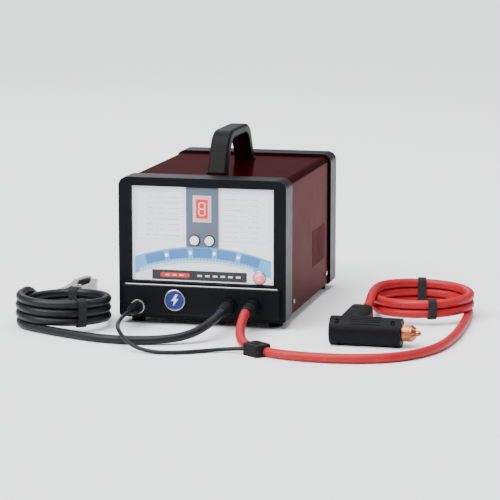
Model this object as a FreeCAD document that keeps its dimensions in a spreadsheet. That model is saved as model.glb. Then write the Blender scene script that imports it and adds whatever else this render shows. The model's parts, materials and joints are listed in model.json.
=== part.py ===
"""Spot welder for car-body repair: power unit, pistol gun on a red cable and earth clamp on a black cable.

Millimetres. X points right, Y to the back and Z up. The origin is on the table, under the middle of the unit.
"""
import math
import os

import FreeCAD
import Part
import Sketcher
from FreeCAD import Placement, Rotation, Vector

# ---------------------------------------------------------------- driving dimensions, one sheet cell each
DIMENSIONS = {
    # the case
    "width": 260, "depth": 390, "height": 225,
    "foot_height": 10, "foot_radius": 12, "foot_taper": 2, "foot_inset_x": 22, "foot_inset_y": 30,
    "moulding_wall": 3, "case_corner": 14, "foot_corner": 6, "frame_depth": 44, "front_wall": 11, "rear_wall": 4,
    "fit": 0.3, "cover_sheet": 1.2, "cover_lap": 8, "tray_sheet": 1.5, "tray_flange": 26,
    "vent_width": 4, "vent_height": 58, "vent_pitch": 9, "vent_foot": 60, "vent_front": 20,
    "screw_radius": 2, "screw_head_radius": 4, "screw_head": 2.2, "screw_height": 32,
    "chin_foot": 6, "chin_height": 46, "chin_reach": 8, "chin_inset": 8, "chin_edge": 3,
    # the carrying handle
    "handle_base": 196, "handle_top": 132, "handle_rise": 62, "handle_width": 30, "handle_thick": 14,
    "handle_leg": 20, "handle_shoulder": 15, "handle_bend": 40, "handle_edge": 4, "bolt_inset": 14,
    "bolt_radius": 3, "bolt_head_radius": 5.5, "bolt_head": 4, "bolt_length": 14,
    # the operating panel
    "panel_width": 220, "panel_height": 144, "panel_foot": 67, "panel_thick": 2.5, "panel_recess": 7.5,
    "panel_gap": 1, "window_half": 60, "window_foot": 88, "window_height": 112,
    "column_width": 50, "column_height": 90, "column_thick": 2, "display_width": 26, "display_height": 38,
    "display_drop": 13, "display_proud": 0.5, "button_radius": 7, "button_spread": 11.5, "button_drop": 80,
    "button_travel": 1, "button_proud": 3, "button_slack": 0.1, "button_flange": 1.5,
    "button_stem": 3, "flange_gap": 0.6, "tact_height": 4, "tact_width": 8, "tact_gap": 0.2,
    "band_radius": 315, "band_height": 24, "band_width": 212, "band_top": 54, "foil": 0.5,
    "lamp_radius": 2.6, "lamp_height": 1, "lamp_drop": 9,
    "pilot_radius": 8, "pilot_step": 1, "pilot_lip": 2, "pilot_dome": 3, "pilot_x": 88, "pilot_rise": 10,
    "badge_radius": 16, "badge_thick": 2.5, "badge_recess": 1.5, "badge_x": 40, "badge_rise": 24,
    "board_thick": 1.6, "board_width": 160, "board_height": 120, "board_gap": 10, "boss_radius": 4,
    "boss_x": 72, "boss_low": 84, "boss_pitch": 112,
    # the cable outlets in the front
    "cable_radius": 7, "earth_radius": 6.5, "lead_radius": 3, "gun_outlet_x": 80, "earth_outlet_x": 44,
    "outlet_rise": 24, "outlet_bore": 9, "nut_radius": 14, "nut_height": 8, "dome_radius": 11.9,
    "gland_dome": 10,
    "boot_root": 10, "boot_end": 8, "boot_length": 27, "socket_x": 98, "socket_rise": 18,
    "socket_radius": 8, "socket_flange": 11, "socket_lip": 2, "plug_radius": 9, "plug_length": 25,
    "plug_tail": 14, "plug_tail_radius": 4,
    # the back
    "fan_x": 35, "fan_z": 130, "fan_size": 92, "fan_bore": 43, "fan_depth": 25, "hub_radius": 18,
    "hub_length": 16, "blade_radius": 40, "blade_thick": 2, "blade_chord": 18, "blade_pitch_angle": 35,
    "motor_radius": 20, "motor_plate": 3, "strut": 5, "pin_radius": 2.5, "running_gap": 0.05, "pin_length": 14,
    "guard_thick": 3, "guard_wire": 2.5, "guard_pitch": 9, "guard_radius": 48,
    "switch_x": 70, "switch_z": 168, "switch_width": 22, "switch_height": 28, "switch_lip": 3,
    "switch_depth": 22, "rocker_width": 14, "rocker_height": 20, "rocker_reach": 5, "rocker_dip": 2,
    "rocker_back": 3.5, "rocker_root": 12, "rocker_gap": 1.2, "rocker_tilt": 8, "cavity_depth": 14,
    "trunnion_radius": 1.5, "trunnion_reach": 2.4,
    "mains_z": 58, "mains_bore": 8, "mains_nut_radius": 12, "mains_nut": 6, "mains_dome": 6,
    # the works
    "core_x": 62, "core_y": 10, "core_width": 120, "core_depth": 86, "core_height": 100, "core_leg": 20,
    "coil_gap": 0.5, "primary_height": 35, "secondary_height": 22, "secondary_slot": 12, "clamp_sheet": 3,
    "bracket_reach": 18, "bracket_height": 16, "bracket_width": 100, "bar_thick": 4, "bar_width": 20,
    "bar_drop_gap": 24, "stud_radius": 5, "bar_foot": 10,
    "sink_x": 73, "sink_y": 20, "sink_width": 88, "sink_depth": 120, "sink_base": 8, "fin_height": 30,
    "fin_thick": 3, "module_width": 35, "module_depth": 94, "module_height": 30, "drive_board": 96, "relay": 22, "capacitor_radius": 11, "capacitor_height": 32,
    # the pistol gun, lying on its side
    "gun_rear": 215, "gun_y": -265, "barrel_radius": 21, "barrel_length": 105, "gun_wall": 2.5,
    "grip_x": 222, "grip_depth": 36, "grip_length": 105, "grip_width": 38, "grip_corner": 10,
    "holder_radius": 8, "holder_reach": 14, "nut_bore_gap": 0.05, "nut_outer": 12, "nut_length": 20,
    "nut_neck": 4.5, "electrode_radius": 4, "electrode_length": 28, "electrode_seat": 14, "electrode_flat": 1.5,
    "trigger_thick": 11.4, "trigger_slot": 12.4, "trigger_pin_radius": 1.5, "pin_end_gap": 1,
    "pivot_back": 8, "pivot_drop": 5.5, "trigger_gap": 1.5, "trigger_length": 29, "trigger_lug": 3.5,
    "trigger_heel": 6.5, "trigger_brow": 5, "trigger_hollow": 2.5, "trigger_waist": 14.4, "trigger_toe": 8,
    "slot_spare": 4, "switch_block_back": 7, "switch_block_depth": 11, "switch_block_drop": 6,
    "switch_block_length": 20,
    "gun_screw_radius": 1.5, "gun_screw_head": 3.2, "gun_boss_radius": 4, "gun_screw_up": 13,
    "gun_screw_down": 12, "gun_screw_cap": 3, "gun_boot_length": 22, "gun_boot_flange": 11.5,
    "gun_boot_root": 10.5, "gun_boot_neck": 9, "gun_boot_inside": 6, "gun_boss_half": 16.8,
    "gun_boss_offset": 12.5, "gun_boss_rear": 11, "gun_boss_front": 93, "grip_boss": 75,
    # the earth clamp, lying on its side
    "clamp_x": -251, "clamp_y": -27, "clamp_depth": 24, "lever_length": 85, "lever_gap": 5,
    "lever_shoulder": 22, "lever_outer": 14, "lever_neck": 18, "lever_waist": 20, "jaw_reach": 85,
    "jaw_root": 45, "jaw_inner": 9, "jaw_outer": 19, "jaw_tip": 10, "jaw_step": 7, "lug_radius": 9,
    "lug_room": 10, "ear_thick": 4, "clamp_pin_radius": 3, "clamp_spring_radius": 6, "spring_height": 6,
    "handle_spread": 23, "handle_end": 16,
    # the moulded branch where the trigger lead joins the gun cable
    "branch_length": 34, "branch_width": 28, "branch_height": 18, "branch_corner": 5,
    "branch_edge": 3, "branch_shift": 3,
    # the two coils of cable on the table
    "gun_coil_x": 312, "gun_coil_y": -30, "gun_coil_radius": 72, "gun_coil_turns": 2.5,
    "earth_coil_x": -206, "earth_coil_y": -225, "earth_coil_radius": 66, "earth_coil_turns": 3.1667,
}
VENTS = 11
LAMP_ANGLES = (-10.5, -3.5, 3.5, 10.5)
BLADES = 7
GUARD_RINGS = 5
FINS = 9
OVERCUT = 1  # how far a cut or a joined piece runs past the face that it meets

document = FreeCAD.newDocument("spot_welder")
sheet = document.addObject("Spreadsheet::Sheet", "dims")
for row, (alias, number) in enumerate(DIMENSIONS.items(), start=1):
    sheet.set(f"A{row}", alias)
    sheet.set(f"B{row}", str(number))
    sheet.setAlias(f"B{row}", alias)
document.recompute()


class Size:
    """A size as the sheet's expression, with its present value beside it."""

    def __init__(self, text, value):
        self.text = text
        self.value = value

    def __add__(self, other):
        other = size(other)
        return Size(f"({self.text} + {other.text})", self.value + other.value)

    def __radd__(self, other):
        return size(other) + self

    def __sub__(self, other):
        other = size(other)
        return Size(f"({self.text} - {other.text})", self.value - other.value)

    def __rsub__(self, other):
        return size(other) - self

    def __mul__(self, other):
        other = size(other)
        return Size(f"({self.text} * {other.text})", self.value * other.value)

    __rmul__ = __mul__

    def __truediv__(self, other):
        other = size(other)
        return Size(f"({self.text} / {other.text})", self.value / other.value)

    def __neg__(self):
        return Size(f"(0 - {self.text})", -self.value)


def size(thing):
    """Turn a plain number into a Size, and leave a Size as it is."""
    if isinstance(thing, Size):
        return thing
    return Size(repr(round(thing, 6)), thing)


class Dimensions:
    """The sheet's cells by name."""

    def __getattr__(self, name):
        return Size(f"dims.{name}", float(sheet.get(name)))


dims = Dimensions()
nodes = []


# ---------------------------------------------------------------- helpers: binding, primitives and booleans
def bind(thing, prop, amount):
    """Tie one property to the sheet."""
    thing.setExpression(prop, size(amount).text)


def place(thing, x=0, y=0, z=0, turn=None):
    """Put a piece where the sheet says, turned as given."""
    x, y, z = size(x), size(y), size(z)
    thing.Placement = Placement(Vector(x.value, y.value, z.value), turn or Rotation())
    for letter, amount in zip("xyz", (x, y, z)):
        bind(thing, f".Placement.Base.{letter}", amount)
    return thing


def node(thing, label):
    """Name a finished piece: the label is also its file's name."""
    thing.Label = label
    nodes.append(thing)
    return thing


TURNS = {
    "+Z": Rotation(),
    "-Z": Rotation(Vector(1, 0, 0), 180),
    "+X": Rotation(Vector(0, 1, 0), 90),
    "-X": Rotation(Vector(0, 1, 0), -90),
    "+Y": Rotation(Vector(1, 0, 0), -90),
    "-Y": Rotation(Vector(1, 0, 0), 90),
}


def box(name, x, y, z):
    """A block between two planes on each axis."""
    block = document.addObject("Part::Box", name)
    for prop, (low, high) in zip(("Length", "Width", "Height"), (x, y, z)):
        bind(block, prop, size(high) - size(low))
    return place(block, x[0], y[0], z[0])


def rod(name, radius, length, start, pointing="+Z"):
    """A cylinder from a starting point along an axis."""
    cylinder = document.addObject("Part::Cylinder", name)
    bind(cylinder, "Radius", radius)
    bind(cylinder, "Height", length)
    return place(cylinder, *start, TURNS[pointing])


def cone(name, root, end, length, start, pointing="+Z"):
    """A tapered cylinder, from its radius at the starting point to its radius at the other end."""
    taper = document.addObject("Part::Cone", name)
    bind(taper, "Radius1", root)
    bind(taper, "Radius2", end)
    bind(taper, "Height", length)
    return place(taper, *start, TURNS[pointing])


def cut(name, base, tools):
    """The base without the tools."""
    difference = document.addObject("Part::Cut", name)
    difference.Base = base
    difference.Tool = tools[0] if len(tools) == 1 else fuse(name + "_tools", tools)
    return difference


def fuse(name, pieces):
    """Several shapes as one feature; shapes that don't touch stay separate solids of the group."""
    union = document.addObject("Part::MultiFuse", name)
    union.Shapes = pieces
    return union


def common(name, first, second):
    """What two shapes share."""
    overlap = document.addObject("Part::Common", name)
    overlap.Base = first
    overlap.Tool = second
    return overlap


# ---------------------------------------------------------------- helpers: bodies with sketches and features
def new_body(name):
    """An empty body for sketches and features."""
    return document.addObject("PartDesign::Body", name)


def sketch_on(body, plane, offset=0):
    """A sketch on one of the body's own origin planes, moved along the plane's normal."""
    sketch = body.newObject("Sketcher::SketchObject", body.Name + "_sketch")
    support = [feature for feature in body.Origin.OriginFeatures if feature.Role == plane][0]
    sketch.AttachmentSupport = [(support, "")]
    sketch.MapMode = "FlatFace"
    bind(sketch, ".AttachmentOffset.Base.z", offset)
    return sketch


def tie_corner(sketch, line, corner):
    """Hold the start of a line by its two distances from the sketch's origin."""
    for kind, axis, amount in (("DistanceX", -2, corner[0]), ("DistanceY", -1, corner[1])):
        if amount.text == "0":
            sketch.addConstraint(Sketcher.Constraint("PointOnObject", line, 1, axis))
        else:
            index = sketch.addConstraint(Sketcher.Constraint(kind, -1, 1, line, 1, amount.value))
            bind(sketch, f"Constraints[{index}]", amount)


def outline(sketch, corners):
    """A closed outline of straight lines through the corners."""
    corners = [(size(x), size(y)) for x, y in corners]
    first = sketch.GeometryCount
    count = len(corners)
    for index in range(count):
        start, end = corners[index], corners[(index + 1) % count]
        start, end = (Vector(x.value, y.value, 0) for x, y in (start, end))
        sketch.addGeometry(Part.LineSegment(start, end), False)
    for index in range(count):
        following = first + (index + 1) % count
        sketch.addConstraint(Sketcher.Constraint("Coincident", first + index, 2, following, 1))
    for index in range(count):
        tie_corner(sketch, first + index, corners[index])
    return sketch


def rectangle(sketch, x, y):
    """A rectangle between two levels each way."""
    return outline(sketch, [(x[0], y[0]), (x[1], y[0]), (x[1], y[1]), (x[0], y[1])])


def disc(sketch, x, y, radius):
    """A circle held by its centre and radius."""
    x, y, radius = size(x), size(y), size(radius)
    ring = sketch.addGeometry(Part.Circle(Vector(x.value, y.value, 0), Vector(0, 0, 1), radius.value), False)
    for kind, axis, amount in (("DistanceX", -2, x), ("DistanceY", -1, y)):
        if amount.text == "0":
            sketch.addConstraint(Sketcher.Constraint("PointOnObject", ring, 3, axis))
        else:
            index = sketch.addConstraint(Sketcher.Constraint(kind, -1, 1, ring, 3, amount.value))
            bind(sketch, f"Constraints[{index}]", amount)
    index = sketch.addConstraint(Sketcher.Constraint("Radius", ring, radius.value))
    bind(sketch, f"Constraints[{index}]", radius)
    return sketch


def pad(body, sketch, length, against=False, midplane=False):
    """Add material along the sketch's normal, against it or to both sides."""
    feature = body.newObject("PartDesign::Pad", body.Name + "_pad")
    feature.Profile = sketch
    bind(feature, "Length", length)
    feature.Reversed = against
    if midplane:
        feature.SideType = "Symmetric"
    document.recompute()
    return feature


def pocket(body, sketch, length, along=False, midplane=False):
    """Remove material against the sketch's normal, along it or to both sides, and make sure that some went."""
    before = body.Shape.Volume
    feature = body.newObject("PartDesign::Pocket", body.Name + "_pocket")
    feature.Profile = sketch
    bind(feature, "Length", length)
    feature.Reversed = along
    if midplane:
        feature.SideType = "Symmetric"
    document.recompute()
    if body.Shape.Volume > before - 0.01:
        raise ValueError(f"a pocket of {body.Name} cut nothing")
    return feature


def fillet(body, radius, chosen):
    """Round the edges of the body for which the test is true."""
    edges = [f"Edge{index}" for index, edge in enumerate(body.Shape.Edges, start=1) if chosen(edge)]
    if not edges:
        raise ValueError(f"no edge of {body.Name} to round")
    unrounded = body.Tip
    feature = body.newObject("PartDesign::Fillet", body.Name + "_fillet")
    feature.Base = (unrounded, edges)
    bind(feature, "Radius", radius)
    document.recompute()
    return feature


def runs_along(edge, axis):
    """Whether an edge is a straight line along an axis."""
    if edge.Curve.TypeId != "Part::GeomLine":
        return False
    return abs(getattr(edge.tangentAt(edge.FirstParameter), axis)) > 0.999


def lies_at(edge, axis, level):
    """Whether the whole edge lies in a plane across an axis."""
    bounds = edge.BoundBox
    low, high = getattr(bounds, axis.upper() + "Min"), getattr(bounds, axis.upper() + "Max")
    return abs(low - level.value) < 0.01 and abs(high - level.value) < 0.01


def is_at(edge, axis, level, mirrored=False):
    """Whether the middle of an edge is at a level on an axis, or at the level's mirror image."""
    middle = getattr(edge.CenterOfMass, axis)
    return abs((abs(middle) if mirrored else middle) - level.value) < 0.01


def turned(label, profile, start, pointing):
    """A turned piece from its half outline of (radius, distance along the axis) corners."""
    body = new_body(label)
    sketch = outline(sketch_on(body, "XZ_Plane"), profile)
    spin = body.newObject("PartDesign::Revolution", label + "_turn")
    spin.Profile = sketch
    spin.ReferenceAxis = (sketch, ["V_Axis"])
    spin.Angle = 360
    return place(body, *start, TURNS[pointing])


# ---------------------------------------------------------------- places that several pieces share
front = -dims.depth / 2
back = dims.depth / 2
frame_front = front + dims.chin_reach
frame_inside = front + dims.chin_reach + dims.front_wall
frame_back = frame_front + dims.frame_depth
rear_face = back - dims.guard_thick
rear_edge = rear_face - dims.frame_depth
rear_inside = rear_face - dims.rear_wall
side = dims.width / 2
case_floor = dims.foot_height + dims.moulding_wall + dims.fit
cover_half = side - dims.moulding_wall - dims.fit
cover_top = dims.height - dims.moulding_wall - dims.fit
tray_top = case_floor + dims.tray_sheet
outlet_z = dims.foot_height + dims.outlet_rise
socket_z = dims.foot_height + dims.socket_rise
chin_low = dims.foot_height + dims.chin_foot
panel_front = frame_front + dims.panel_recess - dims.panel_thick
panel_top = dims.panel_foot + dims.panel_height
column_front = panel_front - dims.column_thick
gun_z = dims.barrel_radius
barrel_side = dims.gun_y + dims.barrel_radius
screw_z = case_floor + dims.screw_height - dims.tray_flange / 2
bolt_y = dims.handle_base / 2 - dims.bolt_inset
pilot_z = dims.panel_foot + dims.pilot_rise
pilot_body = dims.pilot_radius - dims.pilot_step
zero = size(0)


# ---------------------------------------------------------------- the case
def frame_moulding(label, face, inside_depth, against):
    """An end frame: a rounded block, hollowed from the side of the cover."""
    body = new_body(label)
    wall = dims.moulding_wall
    block = rectangle(sketch_on(body, "XZ_Plane", -face), (-side, side), (dims.foot_height, dims.height))
    pad(body, block, dims.frame_depth, against=against)
    open_edge = face + dims.frame_depth if against else face - dims.frame_depth
    hollow = rectangle(sketch_on(body, "XZ_Plane", -open_edge), (-side + wall, side - wall),
                       (dims.foot_height + wall, dims.height - wall))
    pocket(body, hollow, inside_depth, along=against)
    fillet(body, dims.case_corner - wall,
           lambda edge: runs_along(edge, "y") and is_at(edge, "z", dims.height - wall))
    fillet(body, dims.case_corner, lambda edge: runs_along(edge, "y") and is_at(edge, "z", dims.height))
    fillet(body, dims.foot_corner, lambda edge: runs_along(edge, "y") and is_at(edge, "z", dims.foot_height))
    return body


def front_frame():
    """The dark front moulding with its chin, the panel's recess and the outlets."""
    body = frame_moulding("front_frame", frame_front, dims.frame_depth - dims.front_wall, True)
    chin_half = side - dims.chin_inset
    chin = rectangle(sketch_on(body, "XZ_Plane", -frame_front), (-chin_half, chin_half),
                     (chin_low, chin_low + dims.chin_height))
    pad(body, chin, dims.chin_reach)
    fillet(body, dims.chin_edge, lambda edge: lies_at(edge, "y", front))
    gap = dims.panel_gap
    recess_half = dims.panel_width / 2 + gap
    recess = rectangle(sketch_on(body, "XZ_Plane", -frame_front), (-recess_half, recess_half),
                       (dims.panel_foot - gap, panel_top + gap))
    pocket(body, recess, dims.panel_recess)
    window = rectangle(sketch_on(body, "XZ_Plane", -frame_front), (-dims.window_half, dims.window_half),
                       (dims.window_foot, dims.window_foot + dims.window_height))
    pocket(body, window, dims.front_wall)
    holes = sketch_on(body, "XZ_Plane", -front)
    disc(holes, dims.gun_outlet_x, outlet_z, dims.outlet_bore)
    disc(holes, dims.earth_outlet_x, outlet_z, dims.outlet_bore)
    disc(holes, -dims.socket_x, socket_z, dims.socket_radius)
    pocket(body, holes, dims.chin_reach + dims.front_wall)
    pilot = disc(sketch_on(body, "XZ_Plane", -frame_front), dims.pilot_x, pilot_z, pilot_body)
    pocket(body, pilot, dims.front_wall)
    badge = disc(sketch_on(body, "XZ_Plane", -front), -dims.badge_x, chin_low + dims.badge_rise,
                 dims.badge_radius + dims.fit)
    pocket(body, badge, dims.badge_recess)
    bosses = sketch_on(body, "XZ_Plane", -frame_inside)
    for x in (-dims.boss_x, dims.boss_x):
        for z in (dims.boss_low, dims.boss_low + dims.boss_pitch):
            disc(bosses, x, z, dims.boss_radius)
    pad(body, bosses, dims.board_gap, against=True)
    return body


def rear_frame():
    """The back moulding with the openings for the fan, the mains switch and the mains gland."""
    body = frame_moulding("rear_frame", rear_face, dims.frame_depth - dims.rear_wall, False)
    openings = sketch_on(body, "XZ_Plane", -rear_face)
    disc(openings, dims.fan_x, dims.fan_z, dims.fan_bore)
    disc(openings, -dims.switch_x, dims.mains_z, dims.mains_bore)
    rectangle(openings, (-dims.switch_x - dims.switch_width / 2, -dims.switch_x + dims.switch_width / 2),
              (dims.switch_z - dims.switch_height / 2, dims.switch_z + dims.switch_height / 2))
    pocket(body, openings, dims.rear_wall, along=True)
    return body


def base_tray():
    """The folded steel tray that carries the works."""
    body = new_body("base_tray")
    half = cover_half - dims.cover_sheet - dims.fit
    thick, rim = dims.tray_sheet, case_floor + dims.tray_flange
    fold = outline(sketch_on(body, "XZ_Plane", -(frame_inside + dims.fit)), [
        (-half, case_floor), (half, case_floor), (half, rim), (half - thick, rim),
        (half - thick, tray_top), (-half + thick, tray_top), (-half + thick, rim), (-half, rim)])
    pad(body, fold, rear_inside - frame_inside - dims.fit * 2, against=True)
    return body


def cover():
    """The red sheet cover, a U over the tray, with a bank of slots in each side."""
    body = new_body("cover")
    start = frame_back - dims.cover_lap
    length = rear_edge - frame_back + dims.cover_lap * 2
    outside = rectangle(sketch_on(body, "XZ_Plane", -start), (-cover_half, cover_half), (case_floor, cover_top))
    pad(body, outside, length, against=True)
    inner_half, inner_top = cover_half - dims.cover_sheet, cover_top - dims.cover_sheet
    inside = rectangle(sketch_on(body, "XZ_Plane", -start), (-inner_half, inner_half),
                       (case_floor - OVERCUT, inner_top))
    pocket(body, inside, length)
    corner = dims.case_corner - dims.moulding_wall - dims.fit
    fillet(body, corner - dims.cover_sheet, lambda edge: runs_along(edge, "y") and is_at(edge, "z", inner_top))
    fillet(body, corner, lambda edge: runs_along(edge, "y") and is_at(edge, "z", cover_top))
    holes = sketch_on(body, "XY_Plane", cover_top)
    for y in (-bolt_y, bolt_y):
        disc(holes, zero, y, dims.bolt_radius)
    pocket(body, holes, dims.cover_sheet * 2)
    screws = sketch_on(body, "YZ_Plane", cover_half)
    for y in screw_places():
        disc(screws, y, screw_z, dims.screw_radius)
    pocket(body, screws, cover_half * 2)
    slot = rectangle(sketch_on(body, "YZ_Plane", cover_half),
                     (dims.vent_front, dims.vent_front + dims.vent_width),
                     (dims.vent_foot, dims.vent_foot + dims.vent_height))
    first = pocket(body, slot, cover_half * 2)
    row = body.newObject("PartDesign::LinearPattern", "cover_vents")
    row.Originals = [first]
    row.Direction = (slot, ["H_Axis"])
    row.Occurrences = VENTS
    bind(row, "Length", dims.vent_pitch * (VENTS - 1))
    body.Tip = row
    return body


def screw_places():
    """Where the cover's side screws sit along the case."""
    return [frame_back + dims.frame_depth / 2, rear_edge - dims.frame_depth / 2]


def cover_screws():
    """Four screws that hold the cover to the tray's flanges."""
    screws = []
    for pointing, way in (("+X", 1), ("-X", -1)):
        for y in screw_places():
            name = f"cover_screw_{len(screws)}"
            shank = rod(name + "_shank", dims.screw_radius, dims.cover_sheet,
                        ((cover_half - dims.cover_sheet) * way, y, screw_z), pointing)
            head = rod(name + "_head", dims.screw_head_radius, dims.screw_head,
                       (cover_half * way, y, screw_z), pointing)
            screws.append(fuse(name, [shank, head]))
    return fuse("cover_screws", screws)


def feet():
    """Four tapered rubber feet, one under each corner of the case."""
    group = []
    for x in (-side + dims.foot_inset_x, side - dims.foot_inset_x):
        for y in (frame_front + dims.foot_inset_y, rear_face - dims.foot_inset_y):
            group.append(cone(f"foot_{len(group)}", dims.foot_radius - dims.foot_taper, dims.foot_radius,
                              dims.foot_height, (x, y, 0)))
    return fuse("feet", group)


def handle():
    """The arched carrying handle, which runs from front to back."""
    body = new_body("handle")
    base, top = dims.handle_base / 2, dims.handle_top / 2
    crown = cover_top + dims.handle_rise
    outer = outline(sketch_on(body, "YZ_Plane"),
                    [(-base, cover_top), (base, cover_top), (top, crown), (-top, crown)])
    pad(body, outer, dims.handle_width, midplane=True)
    fillet(body, dims.handle_bend, lambda edge: runs_along(edge, "x") and lies_at(edge, "z", crown))
    inner_base, inner_top = base - dims.handle_leg, top - dims.handle_shoulder
    under = crown - dims.handle_thick
    gap = outline(sketch_on(body, "YZ_Plane"), [(-inner_base, cover_top), (inner_base, cover_top),
                                                (inner_top, under), (-inner_top, under)])
    pocket(body, gap, dims.handle_width, midplane=True)
    fillet(body, dims.handle_bend - dims.handle_thick / 2,
           lambda edge: runs_along(edge, "x") and lies_at(edge, "z", under))
    edge_x = dims.handle_width / 2
    fillet(body, dims.handle_edge, lambda edge: (lies_at(edge, "x", edge_x) or lies_at(edge, "x", -edge_x))
           and not lies_at(edge, "z", cover_top))
    bolts = sketch_on(body, "XY_Plane", cover_top)
    for y in (-bolt_y, bolt_y):
        disc(bolts, zero, y, dims.bolt_radius)
    pocket(body, bolts, dims.bolt_length - dims.cover_sheet, along=True)
    return body


def handle_bolts():
    """Two bolts from under the cover up into the handle's feet."""
    bolts = []
    under = cover_top - dims.cover_sheet
    for way, y in (("front", -bolt_y), ("back", bolt_y)):
        shank = rod(f"bolt_{way}_shank", dims.bolt_radius, dims.bolt_length, (0, y, under))
        head = rod(f"bolt_{way}_head", dims.bolt_head_radius, dims.bolt_head, (0, y, under - dims.bolt_head))
        bolts.append(fuse(f"bolt_{way}", [shank, head]))
    return fuse("handle_bolts", bolts)


node(front_frame(), "front_frame")
node(rear_frame(), "rear_frame")
node(base_tray(), "base_tray")
node(cover(), "cover")
node(cover_screws(), "cover_screws")
node(feet(), "feet")
node(handle(), "handle")
node(handle_bolts(), "handle_bolts")


# ---------------------------------------------------------------- the operating panel
display_top = panel_top - dims.display_drop
button_z = panel_top - dims.button_drop
button_places = {"button_down": -dims.button_spread, "button_up": dims.button_spread}
board_face = frame_inside + dims.board_gap
band_centre_z = dims.panel_foot + dims.band_top - dims.band_radius
panel_back = panel_front + dims.panel_thick


def display_block(name, y):
    """The block of the display, used for the window and for the openings that it fits."""
    return box(name, (-dims.display_width / 2, dims.display_width / 2), y,
               (display_top - dims.display_height, display_top))


def button_holes(owner):
    """The round holes that the two buttons run in."""
    radius = dims.button_radius + dims.button_slack
    return [rod(f"{owner}_{name}_hole", radius, dims.column_thick + dims.panel_thick,
                (x, column_front, button_z), "+Y") for name, x in button_places.items()]


def panel_plate():
    """The white plate in the recess, with its openings."""
    plate = box("panel_plate_block", (-dims.panel_width / 2, dims.panel_width / 2), (panel_front, panel_back),
                (dims.panel_foot, panel_top))
    pilot = rod("panel_pilot_hole", pilot_body, dims.panel_thick, (dims.pilot_x, panel_front, pilot_z), "+Y")
    window = display_block("panel_display_hole", (panel_front, panel_back))
    return cut("panel_plate", plate, [pilot, window] + button_holes("panel"))


def display_column():
    """The grey column down the middle of the panel."""
    half = dims.column_width / 2
    column = box("display_column_block", (-half, half), (column_front, panel_front),
                 (panel_top - dims.column_height, panel_top))
    window = display_block("column_display_hole", (column_front, panel_front))
    return cut("display_column", column, [window] + button_holes("column"))


def push_button(label, x):
    """A round button: cap, the flange behind the plate that keeps it in, and the stem to its switch."""
    face = column_front - dims.button_proud
    cap = panel_back + dims.flange_gap - face
    flange_end = cap + dims.button_flange
    stem_end = board_face - dims.tact_height - dims.tact_gap - dims.button_travel - face
    flange_radius = dims.button_radius + dims.button_flange
    return turned(label, [(0, 0), (dims.button_radius, 0), (dims.button_radius, cap), (flange_radius, cap),
                          (flange_radius, flange_end), (dims.button_stem, flange_end),
                          (dims.button_stem, stem_end), (0, stem_end)],
                  (x, face, button_z), "+Y")


def blue_band():
    """The arched colour foil across the panel, between two arcs about one centre."""
    outer = rod("band_outer", dims.band_radius, dims.foil, (0, panel_front - dims.foil, band_centre_z), "+Y")
    inner = rod("band_inner", dims.band_radius - dims.band_height, dims.foil,
                (0, panel_front - dims.foil, band_centre_z), "+Y")
    span = box("band_span", (-dims.band_width / 2, dims.band_width / 2), (panel_front - dims.foil, panel_front),
               (dims.panel_foot, panel_top))
    pilot = rod("band_pilot_hole", dims.pilot_radius + dims.fit, dims.foil,
                (dims.pilot_x, panel_front - dims.foil, pilot_z), "+Y")
    return common("blue_band", cut("band_ring", outer, [inner, pilot]), span)


def function_lamps():
    """Four small lamps, spaced evenly along the band's arc."""
    reach = dims.band_radius - dims.lamp_drop
    lamps = []
    for angle in LAMP_ANGLES:
        turn = math.radians(angle)
        start = (reach * math.sin(turn), panel_front - dims.foil, band_centre_z + reach * math.cos(turn))
        lamps.append(rod(f"lamp_{len(lamps)}", dims.lamp_radius, dims.lamp_height, start, "-Y"))
    return fuse("function_lamps", lamps)


def pilot_lamp():
    """The round pilot lamp in the panel's lower corner."""
    lens, depth = dims.pilot_radius, frame_inside - panel_front
    lip, crown = depth + dims.pilot_lip, depth + dims.pilot_lip + dims.pilot_dome
    return turned("pilot_lamp", [(0, 0), (pilot_body, 0), (pilot_body, depth), (lens, depth), (lens, lip),
                                 (lens / 2, crown), (0, crown)],
                  (dims.pilot_x, frame_inside, pilot_z), "-Y")


def control_board():
    """The board behind the panel on four bosses, with the two switches that the buttons press."""
    half = dims.board_width / 2
    foot = dims.boss_low - dims.boss_radius
    card = box("control_board_card", (-half, half), (board_face, board_face + dims.board_thick),
               (foot, foot + dims.board_height))
    parts = [card]
    for name, x in button_places.items():
        edge = dims.tact_width / 2
        parts.append(box(f"{name}_switch", (x - edge, x + edge), (board_face - dims.tact_height, board_face),
                         (button_z - edge, button_z + edge)))
    return fuse("control_board", parts)


node(panel_plate(), "panel_plate")
node(display_column(), "display_column")
node(display_block("display_window", (column_front - dims.display_proud, panel_back)), "display_window")
for button_label, button_x in button_places.items():
    node(push_button(button_label, button_x), button_label)
node(blue_band(), "blue_band")
node(function_lamps(), "function_lamps")
node(pilot_lamp(), "pilot_lamp")
node(control_board(), "control_board")
node(rod("badge_disc", dims.badge_radius, dims.badge_thick,
         (-dims.badge_x, front + dims.badge_recess, chin_low + dims.badge_rise), "-Y"), "badge_disc")


# ---------------------------------------------------------------- the outlets in the chin
outlets = {"earth": dims.earth_outlet_x, "gun": dims.gun_outlet_x}
wall_length = dims.chin_reach + dims.front_wall
boot_start = front - dims.nut_height - dims.gland_dome


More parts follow.
